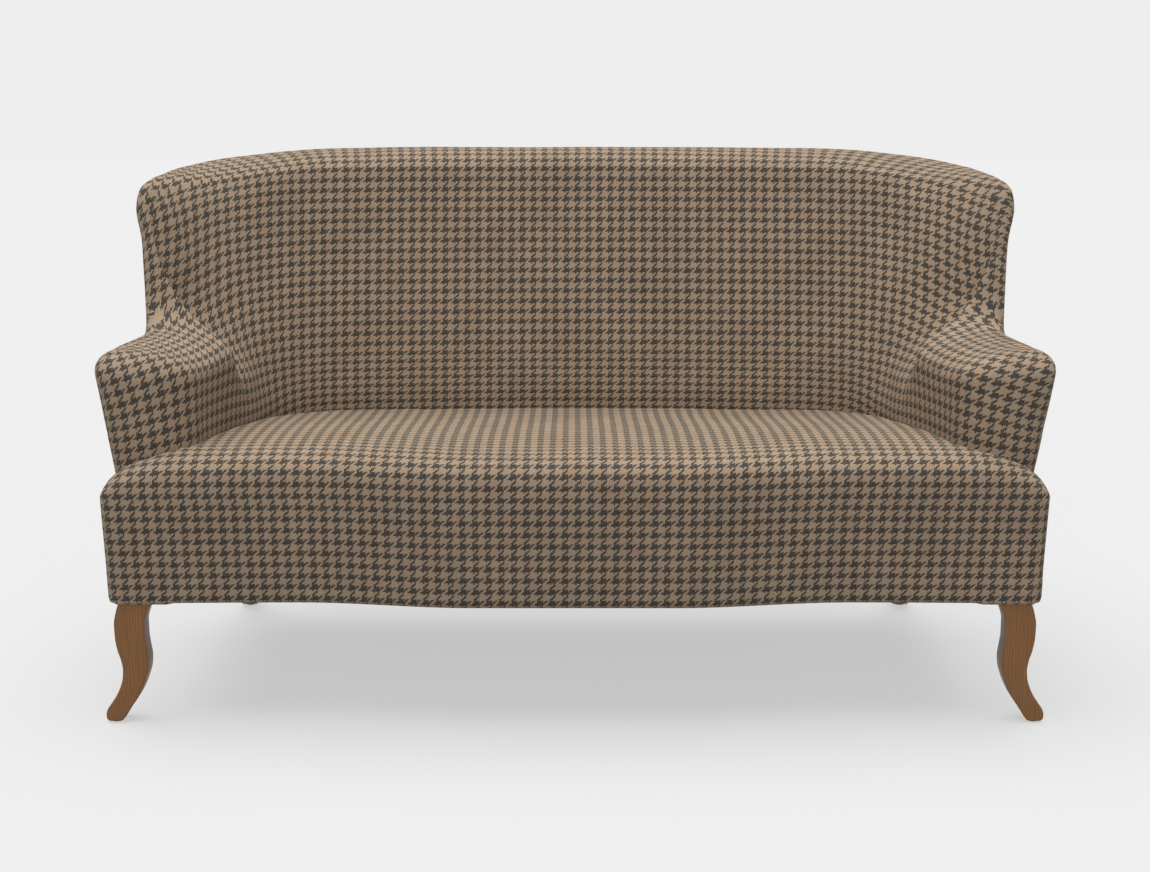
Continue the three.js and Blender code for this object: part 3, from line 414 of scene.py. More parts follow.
# %% A grid helper
def spaced(*stretches):
    """Places in stretches of (end, steps), from the first number on."""
    places = [stretches[0]]
    for end, steps in stretches[1:]:
        start = places[-1]
        places += [mix(start, end, (k + 1) / steps) for k in range(steps)]
    return places


def formed_grid(columns, rows, place):
    """A grid of columns by rows with each point moved by place(column, row)."""
    form = bmesh.new()
    wide, high = len(columns) - 1, len(rows) - 1
    bmesh.ops.create_grid(form, x_segments=wide, y_segments=high, size=1)
    col, row = (form.verts.layers.int.new(name) for name in ("col", "row"))
    for v in form.verts:
        v[col] = round((v.co.x + 1) / 2 * wide)
        v[row] = round((v.co.y + 1) / 2 * high)
        v.co = place(columns[v[col]], rows[v[row]]) * MM
    return form, col, row


half = spaced(0, (1, 40), (2, 34), (2.6, 50), (3, 14), (4, 30))
cover_columns = [-c for c in reversed(half[1:])] + half
RIDGE_ROW, SEAM_ROW = 2, 3
SEAM_SHARE = 0.9
# The inside of the wall is covered down to the deck under the seat, the arm's outer front to the hem.
DECK, NOSE_OUTER_HALF = 338, (3.5, 0.5)
cover_rows = spaced(0, (1, 56), (RIDGE_ROW, 12), (SEAM_ROW, 14))


def cover_floor(loop):
    return mix(DECK, HEM, ease(loop, *NOSE_OUTER_HALF))


def cover_place(column, row):
    loop = abs(column)
    if row > RIDGE_ROW:
        down = mix(RIDGE_ROW, SEAM_SHARE, row - RIDGE_ROW)
        point = wall_point(7 - min(loop, 3), down, HEM)
    else:
        point = wall_point(loop, row, cover_floor(loop))
    point.x = math.copysign(point.x, column) if column else point.x
    return point


print("inside cover's grid:", len(cover_columns), "by", len(cover_rows), "points")

# %% [markdown]
# ## How the pattern lies
# Woven cloth shears easily, but its threads hardly stretch. So the rows of the pattern are spaced by
# the true length up each column of the grid, and its columns by the true length around the wall at one
# level. Where the wall leans out the two no longer cross squarely, which is the shear that a fitter
# eases in by hand. Just above the seat the cloth is eased closer. Each corner of a face keeps its
# place on the flat cloth, in metres, in the UV map.

# %% Lengths around the wall and up it
EASED_BELOW, EASED_SHARE, EASED_TO, EASED_RUN = 570, 0.3, 1.4, 0.6
levels = spaced(DECK, (CREST, 26))
sections = [Section(t) for t in half if t <= 3]
around = []
for z in levels:
    line = [0]
    for before, section in zip(sections, sections[1:]):
        step = section.at(section.inside(z), z) - before.at(before.inside(z), z)
        line.append(line[-1] + step.length)
    around.append(line)


def length_around(c, z):
    place = clamp((z - DECK) / (CREST - DECK)) * (len(levels) - 1.001)
    k = int(place)
    return mix(around[k][c], around[k + 1][c], place - k)


face_top = cover_rows.index(1)
ridge_row = cover_rows.index(RIDGE_ROW)
points = np.array([[cover_place(column, r) for r in cover_rows] for column in half])
first = np.zeros((len(half), len(cover_rows), 2))
for c, column in enumerate(half):
    steps = np.linalg.norm(np.diff(points[c], axis=0), axis=1)
    up = cover_floor(column) + np.concatenate([[0], np.cumsum(steps)])
    eased = EASED_SHARE * np.minimum(0, up - EASED_BELOW) * (1 - ease(column, EASED_TO, EASED_RUN))
    first[c, :, 1] = up + eased
    if c < len(sections):
        first[c, :, 0] = [length_around(c, points[c, min(r, face_top), 2]) for r in range(len(cover_rows))]
    else:
        first[c, :, 0] = first[c - 1, :, 0] + np.linalg.norm(points[c] - points[c - 1], axis=1)
print("cover is", round(2 * first[-1, 20, 0]), "mm wide, round both arms")

# %% [markdown]
# Over the rim of the wing and the top of the arm that rule fails, because the rim drops so steeply that
# cloth which goes over it turns sideways. So from the round corner on, the cloth is let go: each small
# triangle is turned as it lies best, and each point is moved to where its triangles would have it,
# over and over. The back keeps its level rows, and the pattern eases into the rest as real cloth does.

# %% Let the cloth over the wings and arms find its place
HELD_UP_TO, LAY_ROUNDS, MOMENTUM = 1.8, 420, 0.9
OUTSIDE_WEIGHT, LEAST_STIFF, MOST_STIFF, SLIVER = 0.3, 0.08, 4, 0.01
# Half a repeat: with it no dark check falls where the cloth stretches most, at the wing's foot.
ROWS_UP = 10.25


def lay_flat(points, first, held, weight):
    """Flat places for a grid of points, keeping lengths as well as it can."""
    wide, high = points.shape[:2]
    number_of = np.arange(wide * high).reshape(wide, high)
    a, b, d, e = (number_of[:-1, :-1], number_of[1:, :-1], number_of[:-1, 1:], number_of[1:, 1:])
    corners = np.concatenate([np.stack(t, -1).reshape(-1, 3)
                              for t in ((a, b, e), (a, e, d), (a, b, d), (b, e, d))])
    cell_weight = np.tile(weight.reshape(-1), 4)
    spot = points.reshape(-1, 3)[corners]
    one, two = spot[:, 1] - spot[:, 0], spot[:, 2] - spot[:, 0]
    length = np.linalg.norm(one, axis=1) + 1e-9
    area = np.linalg.norm(np.cross(one, two), axis=1)
    real = np.zeros((len(corners), 3, 2))
    real[:, 1, 0] = length
    real[:, 2, 0] = (one * two).sum(1) / length
    real[:, 2, 1] = area / length
    usable = (area > SLIVER) & (cell_weight > 0)
    corners, real, cell_weight = corners[usable], real[usable], cell_weight[usable]
    flat = first.reshape(-1, 2).copy()
    free = ~held.reshape(-1)
    before = flat.copy()
    edges = []
    for i, j, k in ((0, 1, 2), (1, 2, 0), (2, 0, 1)):
        p, q = real[:, i] - real[:, k], real[:, j] - real[:, k]
        turn = np.abs(p[:, 0] * q[:, 1] - p[:, 1] * q[:, 0]) + 1e-9
        stiff = np.clip((p * q).sum(1) / turn, LEAST_STIFF, MOST_STIFF) * cell_weight
        edges.append((i, j, stiff, real[:, i] - real[:, j]))
    total = sum(np.bincount(corners[:, end], stiff, len(flat))
                for i, j, stiff, _ in edges for end in (i, j))
    free &= total > 0
    for _ in range(LAY_ROUNDS):
        lean, level = 0, 0
        for i, j, stiff, span in edges:
            step = flat[corners[:, i]] - flat[corners[:, j]]
            lean += stiff * (step[:, 1] * span[:, 0] - step[:, 0] * span[:, 1])
            level += stiff * (step * span).sum(1)
        angle = np.arctan2(lean, level)
        cos, sin = np.cos(angle), np.sin(angle)
        pull = np.zeros_like(flat)
        for i, j, stiff, span in edges:
            turned = np.stack([cos * span[:, 0] - sin * span[:, 1], sin * span[:, 0] + cos * span[:, 1]], 1)
            for near, far, sign in ((i, j, 1), (j, i, -1)):
                aim = (flat[corners[:, far]] + sign * turned) * stiff[:, None]
                for axis in (0, 1):
                    pull[:, axis] += np.bincount(corners[:, near], aim[:, axis], len(flat))
        wanted = flat.copy()
        wanted[free] = pull[free] / total[free, None] + MOMENTUM * (flat[free] - before[free])
        before, flat = flat, wanted
    return flat.reshape(wide, high, 2)


held = np.zeros(first.shape[:2], bool)
held[[column <= HELD_UP_TO for column in half]] = True
weight = np.ones((len(half) - 1, len(cover_rows) - 1))
weight[:, ridge_row + 1:] = OUTSIDE_WEIGHT
weight[half.index(3):, ridge_row:] = 0
flat_place = lay_flat(points, first, held, weight)
print("cloth moved by up to", round(float(np.abs(flat_place - first).max())), "mm to lie flat")

# %% The inside cover's grid
def write_flat(form, faces, flat_at):
    """Write the flat places of the faces' corners into the UV map."""
    maps = form.loops.layers.uv
    layer = maps.get("UVMap") or maps.new("UVMap")
    for face in faces:
        for corner in face.loops:
            corner[layer].uv = flat_at[corner.vert]


cover_form, col, row = formed_grid(cover_columns, cover_rows, cover_place)
flat_at = {}
for v in cover_form.verts:
    c = v[col] - (len(half) - 1)
    across, up = flat_place[abs(c), v[row]]
    flat_at[v] = (math.copysign(across, c) * MM, (up + ROWS_UP) * MM)
write_flat(cover_form, cover_form.faces, flat_at)
# Past the arm's front the rows above the ridge would lie on themselves.
spare = [f for f in cover_form.faces
         if all(v[row] >= ridge_row for v in f.verts)
         and any(abs(cover_columns[v[col]]) > 3 for v in f.verts)]
bmesh.ops.delete(cover_form, geom=spare, context="FACES")
bmesh.ops.remove_doubles(cover_form, verts=cover_form.verts, dist=0.05 * MM)
bmesh.ops.recalc_face_normals(cover_form, faces=cover_form.faces)
print("inside cover:", len(cover_form.faces), "faces")

# %% [markdown]
# Sewn cloth lies a little uneven over its padding, and where two panels meet each edge is turned in,
# so a seam reads as a fine groove. Real padding is never a perfect surface either: it has soft swells
# a hand wide. Both are made by moving points along their normals, by a few tenths of a millimetre to
# two millimetres.

# %% Padding and seams
EDGE_DEPTH, EDGE_WIDTH, CLOTH = 1.7, 6, 2
# Swells of the padding: how wide they are and how high, in millimetres, and where the noise starts.
COVER_SWELLS, SEAT_SWELLS = ((230, 2.2, 3), (70, 0.7, 11)), ((260, 2.4, 5), (80, 0.7, 7))
PANEL_SWELLS = ((300, 0.3, 21),)
# Stretches of the inside cover, in columns and rows, and how often each is evened out.
EVENED = ((1.7, 2.95, 0.4, 2.6, 5), (1.9, 2.7, 0.6, 2.3, 4), (2.8, 4.1, 0.7, 2.4, 8))


def swell(form, swells, low=0):
    """Move the points above a height along their normals by soft noise."""
    for size, height, seed in swells:
        form.normal_update()
        shift = Vector((seed, -seed, 2 * seed))
        for v in form.verts:
            amount = noise.noise(v.co / (size * MM) + shift) * height * MM
            if v.co.z > low * MM:
                v.co += v.normal * amount


def nearest(verts):
    """A tree that finds the nearest of these points."""
    places = KDTree(len(verts))
    for k, v in enumerate(verts):
        places.insert(v.co, k)
    places.balance()
    return places


def turn_in_edges(form, on_seam):
    """Turn the edges of a panel in where on_seam(vertex) says that it meets another panel."""
    seam = nearest([v for v in form.verts if v.is_boundary and on_seam(v)])
    form.normal_update()
    for v in form.verts:
        distance = seam.find(v.co)[2] / MM
        if distance < EDGE_WIDTH:
            v.co -= v.normal * EDGE_DEPTH * (1 - distance / EDGE_WIDTH) ** 2 * MM


def thicken(piece, thickness):
    """Give a cloth its thickness, inwards from its face."""
    layer = piece.modifiers.new("cloth_thickness", "SOLIDIFY")
    layer.thickness = thickness * MM
    layer.offset = -1


for from_column, to_column, from_row, to_row, rounds in EVENED:
    stretch = [v for v in cover_form.verts
               if from_column < abs(cover_columns[v[col]]) < to_column
               and from_row < cover_rows[v[row]] < to_row and not v.is_boundary]
    for _ in range(rounds):
        bmesh.ops.smooth_vert(cover_form, verts=stretch, factor=0.5, use_axis_x=True, use_axis_y=True,
                              use_axis_z=True)
    print("evened out", len(stretch), "points of the inside cover")
swell(cover_form, COVER_SWELLS)
turn_in_edges(cover_form, lambda v: cover_rows[v[row]] > RIDGE_ROW or abs(cover_columns[v[col]]) == 4)

# %% [markdown]
# ## Houndstooth wool
# Houndstooth is a plain rule of weaving: four dark and four light threads by turns, both ways, in a
# two-and-two twill. Where a dark thread lies on top the eye sees dark, and the twill steps sideways by
# one thread a row, which makes the pointed checks and their thin tails. The material follows that
# rule on the cloth's flat layout: it numbers the threads, asks which one is on top, and takes that
# one's colour. Thick woollen yarn is never one colour, so each thread and each fibre tuft differs a
# little, with a few olive, ginger and grey neps. The surface is very rough, with a soft sheen.

# %% Houndstooth wool
# Eight threads fill a repeat of 22 by 20.5 mm, so each is under 3 mm wide, as in coarse tweed.
REPEAT_ACROSS, REPEAT_UP = 0.022, 0.0205
THREADS, DARK_THREADS = 8, 3.7
DARK_YARN, WORN_YARN = "#4b4741", "#6b655c"
LIGHT_YARN, GINGER_YARN, OLIVE_YARN, GREY_YARN = "#b09a81", "#ab8a70", "#9d9376", "#9d9589"
wool, tree = new_material("houndstooth_wool")


def dress(tree, colour, height, strength, depth, sockets):
    """Close a material: a colour, a height that bumps it by a depth in metres, and its other values."""
    bump = add(tree, "Bump", {"Height": height, "Strength": strength, "Distance": depth})
    skin = add(tree, "BsdfPrincipled", {"Base Color": colour, "Normal": bump, **sockets})
    add(tree, "OutputMaterial", {"Surface": skin})


# The threads wander by a millimetre within a finger's width (17 mm, 60 to the metre), and their
# edges fray in tufts of 1.7 mm.
flat = add(tree, "UVMap", uv_map="UVMap")
place = flat
for wander, scale, detail in ((0.0022, 60, 2), (0.003, 600, 1)):
    drift = add(tree, "TexNoise", {"Vector": flat, "Scale": scale, "Detail": detail}, "Color")
    centred = add(tree, "VectorMath", (drift, (0.5, 0.5, 0.5)), operation="SUBTRACT")
    place = add(tree, "VectorMath", (centred, (wander, wander, wander), place), operation="MULTIPLY_ADD")
thread, is_dark, roundness = [], [], []
for axis, repeat in (("X", REPEAT_ACROSS), ("Y", REPEAT_UP)):
    along = add(tree, "SeparateXYZ", (place,), axis)
    run = add(tree, "Math", (along, THREADS / repeat), operation="MULTIPLY")
    turn = add(tree, "Math", (run, THREADS), operation="FLOORED_MODULO")
    thread.append(add(tree, "Math", (run,), operation="FLOOR"))
    is_dark.append(add(tree, "Math", (turn, DARK_THREADS), operation="LESS_THAN"))
    roundness.append(add(tree, "Math", (run, 0.5), operation="PINGPONG"))
apart = add(tree, "Math", thread, operation="SUBTRACT")
step = add(tree, "Math", (apart, THREADS / 2), operation="FLOORED_MODULO")
warp_on_top = add(tree, "Math", (step, THREADS / 4), operation="LESS_THAN")
dark = add(tree, "Mix", {0: warp_on_top, 2: is_dark[1], 3: is_dark[0]})
thread_round = add(tree, "Mix", {0: warp_on_top, 2: roundness[1], 3: roundness[0]})

# Each thread has its own tone, and the light yarn drifts to ginger and olive in patches 22 mm wide.
# A slow mottle is 110 mm wide and the fluff 0.7 mm, which is coarser than real fibre, so that it shows.
speck = add(tree, "TexWhiteNoise", (add(tree, "CombineXYZ", thread),))
patch = add(tree, "TexNoise", {"Vector": flat, "Scale": 45})
mottle = add(tree, "TexNoise", {"Vector": flat, "Scale": 9, "Detail": 3})
ginger = add(tree, "MapRange", {"Value": patch, "From Min": 0.42, "From Max": 0.8745})
olive = add(tree, "MapRange", {"Value": patch, "From Min": 0.46, "From Max": 0.0754})
grey, worn = [add(tree, "Math", (add(tree, "Math", (speck, above), operation="GREATER_THAN"), share),
                  operation="MULTIPLY") for above, share in ((0.82, 0.5), (0.88, 0.35))]
light = linear(LIGHT_YARN)
for share, yarn in ((ginger, GINGER_YARN), (olive, OLIVE_YARN), (grey, GREY_YARN)):
    light = add(tree, "Mix", {0: share, 6: light, 7: linear(yarn)}, data_type="RGBA")
deep = add(tree, "Mix", {0: worn, 6: linear(DARK_YARN), 7: linear(WORN_YARN)}, data_type="RGBA")
colour = add(tree, "Mix", {0: dark, 6: light, 7: deep}, data_type="RGBA")
tone = add(tree, "Math", (mottle, 0.36, 0.8), operation="MULTIPLY_ADD")
tone = add(tree, "Math", (speck, 0.12, tone), operation="MULTIPLY_ADD")
colour = add(tree, "VectorMath", {0: colour, 3: tone}, operation="SCALE")
fluff = add(tree, "TexNoise", {"Vector": flat, "Scale": 1500})
height = add(tree, "Math", (fluff, 0.6, thread_round), operation="MULTIPLY_ADD")
dress(tree, colour, height, 0.55, 0.0012, {
    "Roughness": 0.95, "IOR": 1.45, "Specular IOR Level": 0.2, "Sheen Weight": 0.12,
    "Sheen Roughness": 0.6, "Sheen Tint": linear("#d8c8b4")})
print("one check is", round(REPEAT_ACROSS / 2 / MM, 1), "mm wide")

# %% Make the inside cover an object
inside_cover = new_object("inside_cover_cloth", cover_form, wool)
thicken(inside_cover, CLOTH)
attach(inside_cover, "root")
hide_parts("inside_cover", "back_pad", "right_arm_pad", "left_arm_pad")
print("inside cover spans", [round(d, 3) for d in inside_cover.dimensions], "m")

# %% [markdown]
# ## The seat
# The seat is fixed and T-shaped: its two front corners, the ears, stand in front of the arms. It is
# crowned, and its cloth runs in one sweep from the back over the nose and down the bowed front. The
# top is a grid whose columns run from the front edge back to the wall or to the back of an ear. Its
# rim is then extruded down as the border, which leans in a little and curls under at the hem.

# %% Sizes of the seat
SEAT_FRONT_Y, BOW, BOW_FLAT, BOW_END, EAR_REACH = -391, 34, 180, 480, 5
SEAT_HALF, BORDER_TOP, CROWN, SEAT_HEM = 822, 407, 82, 219
NOSE_DEPTH, NOSE_POWER, SIDE_DEPTH, SIDE_POWER = 170, 4.2, 150, 1.9
BACK_DROP, DROP_START, DROP_RUN = 30, 150, 440
EAR_CORNER, EAR_BACK_Y, EAR_BACK_X = 28, -340, 748
FRONT_LEAN, SIDE_LEAN = 0.042, 0.024
CREVICE, SEAT_LEVEL = 1, 470


def front_line(x):
    away = abs(x)
    bow = BOW * (1 - ease(away, BOW_FLAT, BOW_END - BOW_FLAT))
    return SEAT_FRONT_Y - bow - EAR_REACH * ease(away, BOW_END, SEAT_HALF - BOW_END)


def crown_share(distance, depth, power):
    away = 1 - clamp(distance / depth)
    return (1 - away ** power) ** (1 / power)


def seat_height(from_front, from_side):
    crown = crown_share(from_front, NOSE_DEPTH, NOSE_POWER) * crown_share(from_side, SIDE_DEPTH, SIDE_POWER)
    return BORDER_TOP + CROWN * crown - BACK_DROP * ease(from_front, DROP_START, DROP_RUN)


wall_line = [inside_plan(3 * k / 240)[0] for k in range(241)]
arm_front = Section(3)
wall_line += [Vector(nose_point(arm_front, k / 60, SEAT_LEVEL)[:2]) for k in range(1, 31)]


def seat_back(x):
    """Where the seat meets the wall behind it, at a distance from the middle."""
    away = abs(x)
    for a, b in zip(wall_line, wall_line[1:]):
        if a.x <= away <= b.x:
            return mix(a.y, b.y, (away - a.x) / max(b.x - a.x, 1e-6)) - CREVICE
    return EAR_BACK_Y


print("seat is", round(seat_back(0) - front_line(0)), "mm deep in the middle")

# %% Seat top
ACROSS = spaced(0, (560, 56), (700, 40), (790, 18), (SEAT_HALF - 1.5, 14))
seat_columns = [-x for x in reversed(ACROSS[1:])] + ACROSS
FRONT_ROWS, FRONT_ZONE, MIDDLE_ROWS = 16, 60, 34
WALL_STEPS = (14, 10, 7, 4.6, 2.8, 1.4, 0.5, 0)
STEEPEST, MOST_BY_WALL, MOST_BY_FRONT = 4.5, 0.45, 0.5
TUCK = 9
seat_rows = list(range(FRONT_ROWS + MIDDLE_ROWS + len(WALL_STEPS)))


def seat_depths(x):
    """Depths of one column's points behind its front edge."""
    whole = seat_back(x) - seat_front(x)
    slope = clamp(abs(seat_back(abs(x) + 1) - seat_back(abs(x) - 1)) / 2, 0, STEEPEST)
    by_wall = min(1, MOST_BY_WALL * whole / (WALL_STEPS[0] * math.hypot(1, slope))) * math.hypot(1, slope)
    near = min(FRONT_ZONE, MOST_BY_FRONT * whole)
    front = [near * (k / (FRONT_ROWS - 1)) ** 2 for k in range(FRONT_ROWS)]
    back = [whole - step * by_wall for step in WALL_STEPS]
    between = [mix(front[-1], back[0], (k + 1) / (MIDDLE_ROWS + 1)) for k in range(MIDDLE_ROWS)]
    return front + between + back


def seat_front(x):
    into = max(0, abs(x) - (SEAT_HALF - EAR_CORNER))
    return front_line(x) + EAR_CORNER - math.sqrt(max(0, EAR_CORNER ** 2 - into ** 2))


depth_table = {x: seat_depths(x) for x in seat_columns}


def seat_place(x, row):
    depth = depth_table[x][row]
    z = seat_height(depth, SEAT_HALF - abs(x))
    step = row - FRONT_ROWS - MIDDLE_ROWS
    if step >= 0:
        near = 1 - clamp(WALL_STEPS[step] / WALL_STEPS[0])
        z -= TUCK * (1 - math.sqrt(1 - near ** 2))
    return Vector((x, seat_front(x) + depth, z))


seat_form, col, row = formed_grid(seat_columns, seat_rows, seat_place)
wide, deep = len(seat_columns), len(seat_rows)
grid = {(v[col], v[row]): v for v in seat_form.verts}
flat_at = {}
for i in range(wide):
    up = BORDER_TOP * MM
    for j in range(deep):
        up += (grid[i, j].co - grid[i, j - 1].co).length if j else 0
        flat_at[grid[i, j]] = (seat_columns[i] * MM, up)
write_flat(seat_form, seat_form.faces, flat_at)
print("seat top:", len(seat_form.faces), "faces")

# %% Seat border
HEM_CURL = 12
LEGS_FROM, LEGS_RUN, CURL_BY_LEGS = 700, 16, 0.12
SIDE_FROM, SIDE_RUN, CURL_AT_SIDE = 805, 10, 0.4
CURL = [(0.35, 0.06), (0.7, 0.29), (0.93, 0.63), (1, 1), (0.96, 1.5), (0.4, 2.2)]
BORDER_LEVELS, HEM_STILL = 16, 30
WALL_STEP, WALL_INSET, INSET_LEVELS = 5.5, 2, 6


def below_rim(place, drop):
    """A rim point moved down the border, which leans in a little."""
    near_front = clamp(2 * place.y / SEAT_FRONT_Y)
    return Vector((place.x * (1 - SIDE_LEAN * drop / SEAT_HALF), place.y + FRONT_LEAN * drop * near_front,
                   place.z - drop))


def curl_share(place):
    """The hem curls under less by the front legs, which stand close behind the cloth."""
    x = abs(place.x)
    side = clamp((x - SIDE_FROM) / SIDE_RUN)
    legs = ease(x, LEGS_FROM, LEGS_RUN) * (1 - side)
    return mix(mix(1, CURL_BY_LEGS, legs), CURL_AT_SIDE, side)


def extrude_line(form, line):
    """Extrude the edges along a line of points, and give back the new points in the same order."""
    edges = [form.edges.get(pair) for pair in zip(line, line[1:])]
    made = bmesh.ops.extrude_edge_only(form, edges=edges)["geom"]
    fresh = {v for v in made if isinstance(v, bmesh.types.BMVert)}
    return [next(e.other_vert(v) for e in v.link_edges if e.other_vert(v) in fresh) for v in line]


line = [grid[i, 0] for i in range(wide)]
line += [grid[wide - 1, j] for j in range(1, deep)]
line += [grid[i, deep - 1] for i in range(wide - 2, -1, -1)]
line += [grid[0, j] for j in range(deep - 2, -1, -1)]
tops = [v.co / MM for v in line]
round_rim = [0]
for before, after in zip(tops, tops[1:]):
    round_rim.append(round_rim[-1] + (after - before).length * MM)
start = round_rim[wide // 2]
falls = []
for k, (v, top) in enumerate(zip(line[:-1], tops)):
    ahead = (tops[k + 1] - tops[k - 1 if k else -2]).xy.normalized()
    inwards = Vector((-ahead.y, ahead.x, 0))
    if v[row] == 0 or v[col] in (0, wide - 1) or abs(top.x) > EAR_BACK_X:
        full = top.z - SEAT_HEM - HEM_CURL
        fall = [below_rim(top, full * (m + 1) / BORDER_LEVELS) for m in range(BORDER_LEVELS)]
        for lower, inner in CURL:
            place = fall[BORDER_LEVELS - 1] + inwards * HEM_CURL * inner * curl_share(top)
            fall.append(place - Vector((0, 0, HEM_CURL * lower)))
    else:
        fall = [top + inwards * WALL_INSET * min(1, m / INSET_LEVELS) - Vector((0, 0, WALL_STEP * m))
                for m in range(1, BORDER_LEVELS + len(CURL) + 1)]
    falls.append(fall)
falls.append(falls[0])
high = [BORDER_TOP * MM] * len(line)
for level in range(BORDER_LEVELS + len(CURL)):
    below = extrude_line(seat_form, line)
    for v, fall in zip(below, falls):
        v.co = fall[level] * MM
    low = [h - (v.co - w.co).length for h, v, w in zip(high, line, below)]
    for k in range(len(line) - 1):
        left, right = round_rim[k] - start, round_rim[k + 1] - start
        flat_at = {line[k]: (left, high[k]), line[k + 1]: (right, high[k + 1]),
                   below[k]: (left, low[k]), below[k + 1]: (right, low[k + 1])}
        write_flat(seat_form, seat_form.edges.get((below[k], below[k + 1])).link_faces, flat_at)
    line, high = below, low
bmesh.ops.recalc_face_normals(seat_form, faces=seat_form.faces)
swell(seat_form, SEAT_SWELLS, HEM + HEM_STILL)
seat = new_object("seat_cloth", seat_form, wool)
thicken(seat, CLOTH)
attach(seat, "root")
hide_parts("seat_cover", "seat_pad")
print("seat:", len(seat.data.polygons), "faces, rim", round(round_rim[-1], 2), "m round")

# %% [markdown]
# ## The outside cloths
# The outside of each arm and the outside of the back are three more panels. Each is stretched over a
# thin lining, turned in at its seams and folded under at the hem. A panel is a grid again, laid on the
# outer face of the tub, whose lowest edge is extruded round the fold.

# %% Outside panels
HEM_FOLD = [(0, 0), (0.35, 0.06), (0.7, 0.29), (0.93, 0.63), (1, 1), (0.96, 1.5), (0.7, 2)]
FOLD = 10
REAR_SEAM = 5.6
PANEL_ROWS = spaced(0, (0.03, 3), (0.87, 44), (SEAM_SHARE, 10))
PANEL_FLOOR = HEM + FOLD


def outside_place(loop, row):
    """A point of the outer face. A loop past 7 is the same face of the other half."""
    point = wall_point(min(loop, 14 - loop), row, PANEL_FLOOR)
    if loop > 7:
        point.x = -point.x
    return point


def outside_panel(name, columns):
    form, col, row = formed_grid(columns, PANEL_ROWS, outside_place)
    grid = {(v[col], v[row]): v for v in form.verts}
    middle_row = len(PANEL_ROWS) // 2
    across, flat_at = 0, {}
    for c in range(len(columns)):
        across += (grid[c, middle_row].co - grid[c - 1, middle_row].co).length if c else 0
        up = PANEL_FLOOR * MM
        for r in range(len(PANEL_ROWS)):
            up += (grid[c, r].co - grid[c, r - 1].co).length if r else 0
            flat_at[grid[c, r]] = (across, up)
    swell(form, PANEL_SWELLS)
    line = [grid[c, 0] for c in range(len(columns))]
    starts = [v.co.copy() for v in line]
    aheads = [(b - a).normalized() for a, b in zip(starts[:1] + starts, starts[1:] + starts[-1:])]
    inwards = [Vector((ahead.y, -ahead.x, 0)) * FOLD * MM for ahead in aheads]
    side = -math.copysign(1, inwards[0].dot(starts[0]))
    for last, now in zip(HEM_FOLD, HEM_FOLD[1:]):
        below = extrude_line(form, line)
        for old, new, start, inward in zip(line, below, starts, inwards):
            new.co = start + inward * side * now[1] - Vector((0, 0, now[0] * FOLD * MM))
            flat_at[new] = (flat_at[old][0], flat_at[old][1] - math.dist(last, now) * FOLD * MM)
        line = below
    write_flat(form, form.faces, flat_at)
    bmesh.ops.recalc_face_normals(form, faces=form.faces)
    if sum(f.normal.xy.dot(f.calc_center_median().xy) for f in form.faces) < 0:
        bmesh.ops.reverse_faces(form, faces=form.faces)
    turn_in_edges(form, lambda v: v.co.z > (PANEL_FLOOR + 1) * MM)
    area = sum(f.calc_area() for f in form.faces)
    panel = new_object(name, form, wool)
    thicken(panel, CLOTH)
    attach(panel, "root")
    heights = [place[1] for place in flat_at.values()]
    print(name, "is cut", round(across, 3), "by", round(max(heights) - min(heights), 3), "m,",
          round(area, 3), "square metres")
    return panel


back_columns = spaced(REAR_SEAM, (REAR_SEAM + 0.02, 2), (7, 70), (14 - REAR_SEAM - 0.02, 70),
                      (14 - REAR_SEAM, 2))
outside_back = outside_panel("outside_back_cloth", back_columns)
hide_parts("outside_back_cover")
right_columns = spaced(4, (4.03, 3), (5.57, 80), (REAR_SEAM, 3))
left_columns = [14 - c for c in reversed(right_columns)]
for side, columns in (("right", right_columns), ("left", left_columns)):
    arm = outside_panel(side + "_outside_arm_cloth", columns)
    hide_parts(side + "_outside_arm_cover")

# %% [markdown]
# ## The legs
# The front legs are sawn from a board in a slow S, so their front and back are flat and parallel. A
# grid takes the outline from a short table, is extruded to the board's thickness, and its sharp edges
# are eased with a small bevel, as sandpaper leaves them. The rear legs rake backwards in a shallow bow
# and taper, so a square is extruded ring by ring along that bow.

# %% Walnut
# Satin lacquer deepens walnut to a warm brown with a soft, broken shine. Rings are 5 mm apart and
# pores 1 mm wide, which is coarser than real ones, so that they show. Both run up the leg.
walnut, tree = new_material("satin_lacquered_walnut")
place = add(tree, "TexCoord", out="Object")
along_leg = add(tree, "Mapping", {"Vector": place, "Scale": (1, 1, 0.055)})
drawn_out = add(tree, "Mapping", {"Vector": place, "Scale": (1, 1, 0.03)})
slow = add(tree, "TexNoise", {"Vector": along_leg, "Scale": 34, "Detail": 3})
pores = add(tree, "TexNoise", {"Vector": drawn_out, "Scale": 900, "Detail": 3, "Roughness": 0.7})
rings = add(tree, "TexWave", {"Vector": along_leg, "Scale": 62, "Distortion": 7, "Detail": 3,
                              "Detail Scale": 1.4, "Detail Roughness": 0.6}, "Fac", bands_direction="X")
ring = add(tree, "Math", (rings, 0.75), operation="MULTIPLY")
band = add(tree, "MapRange", {"Value": slow, "From Min": 0.4, "From Max": 0.8545})
streak = add(tree, "MapRange", {"Value": pores, "From Min": 0.52, "From Max": 0.77, "To Max": 0.55})
grain = linear("#95683a")
for share, brown in ((ring, "#74491f"), (band, "#83561f"), (streak, "#4b301b")):
    grain = add(tree, "Mix", {0: share, 6: grain, 7: linear(brown)}, data_type="RGBA")
dress(tree, grain, pores, 0.18, 0.0006, {"Roughness": 0.42})
print("walnut grain runs up the legs")

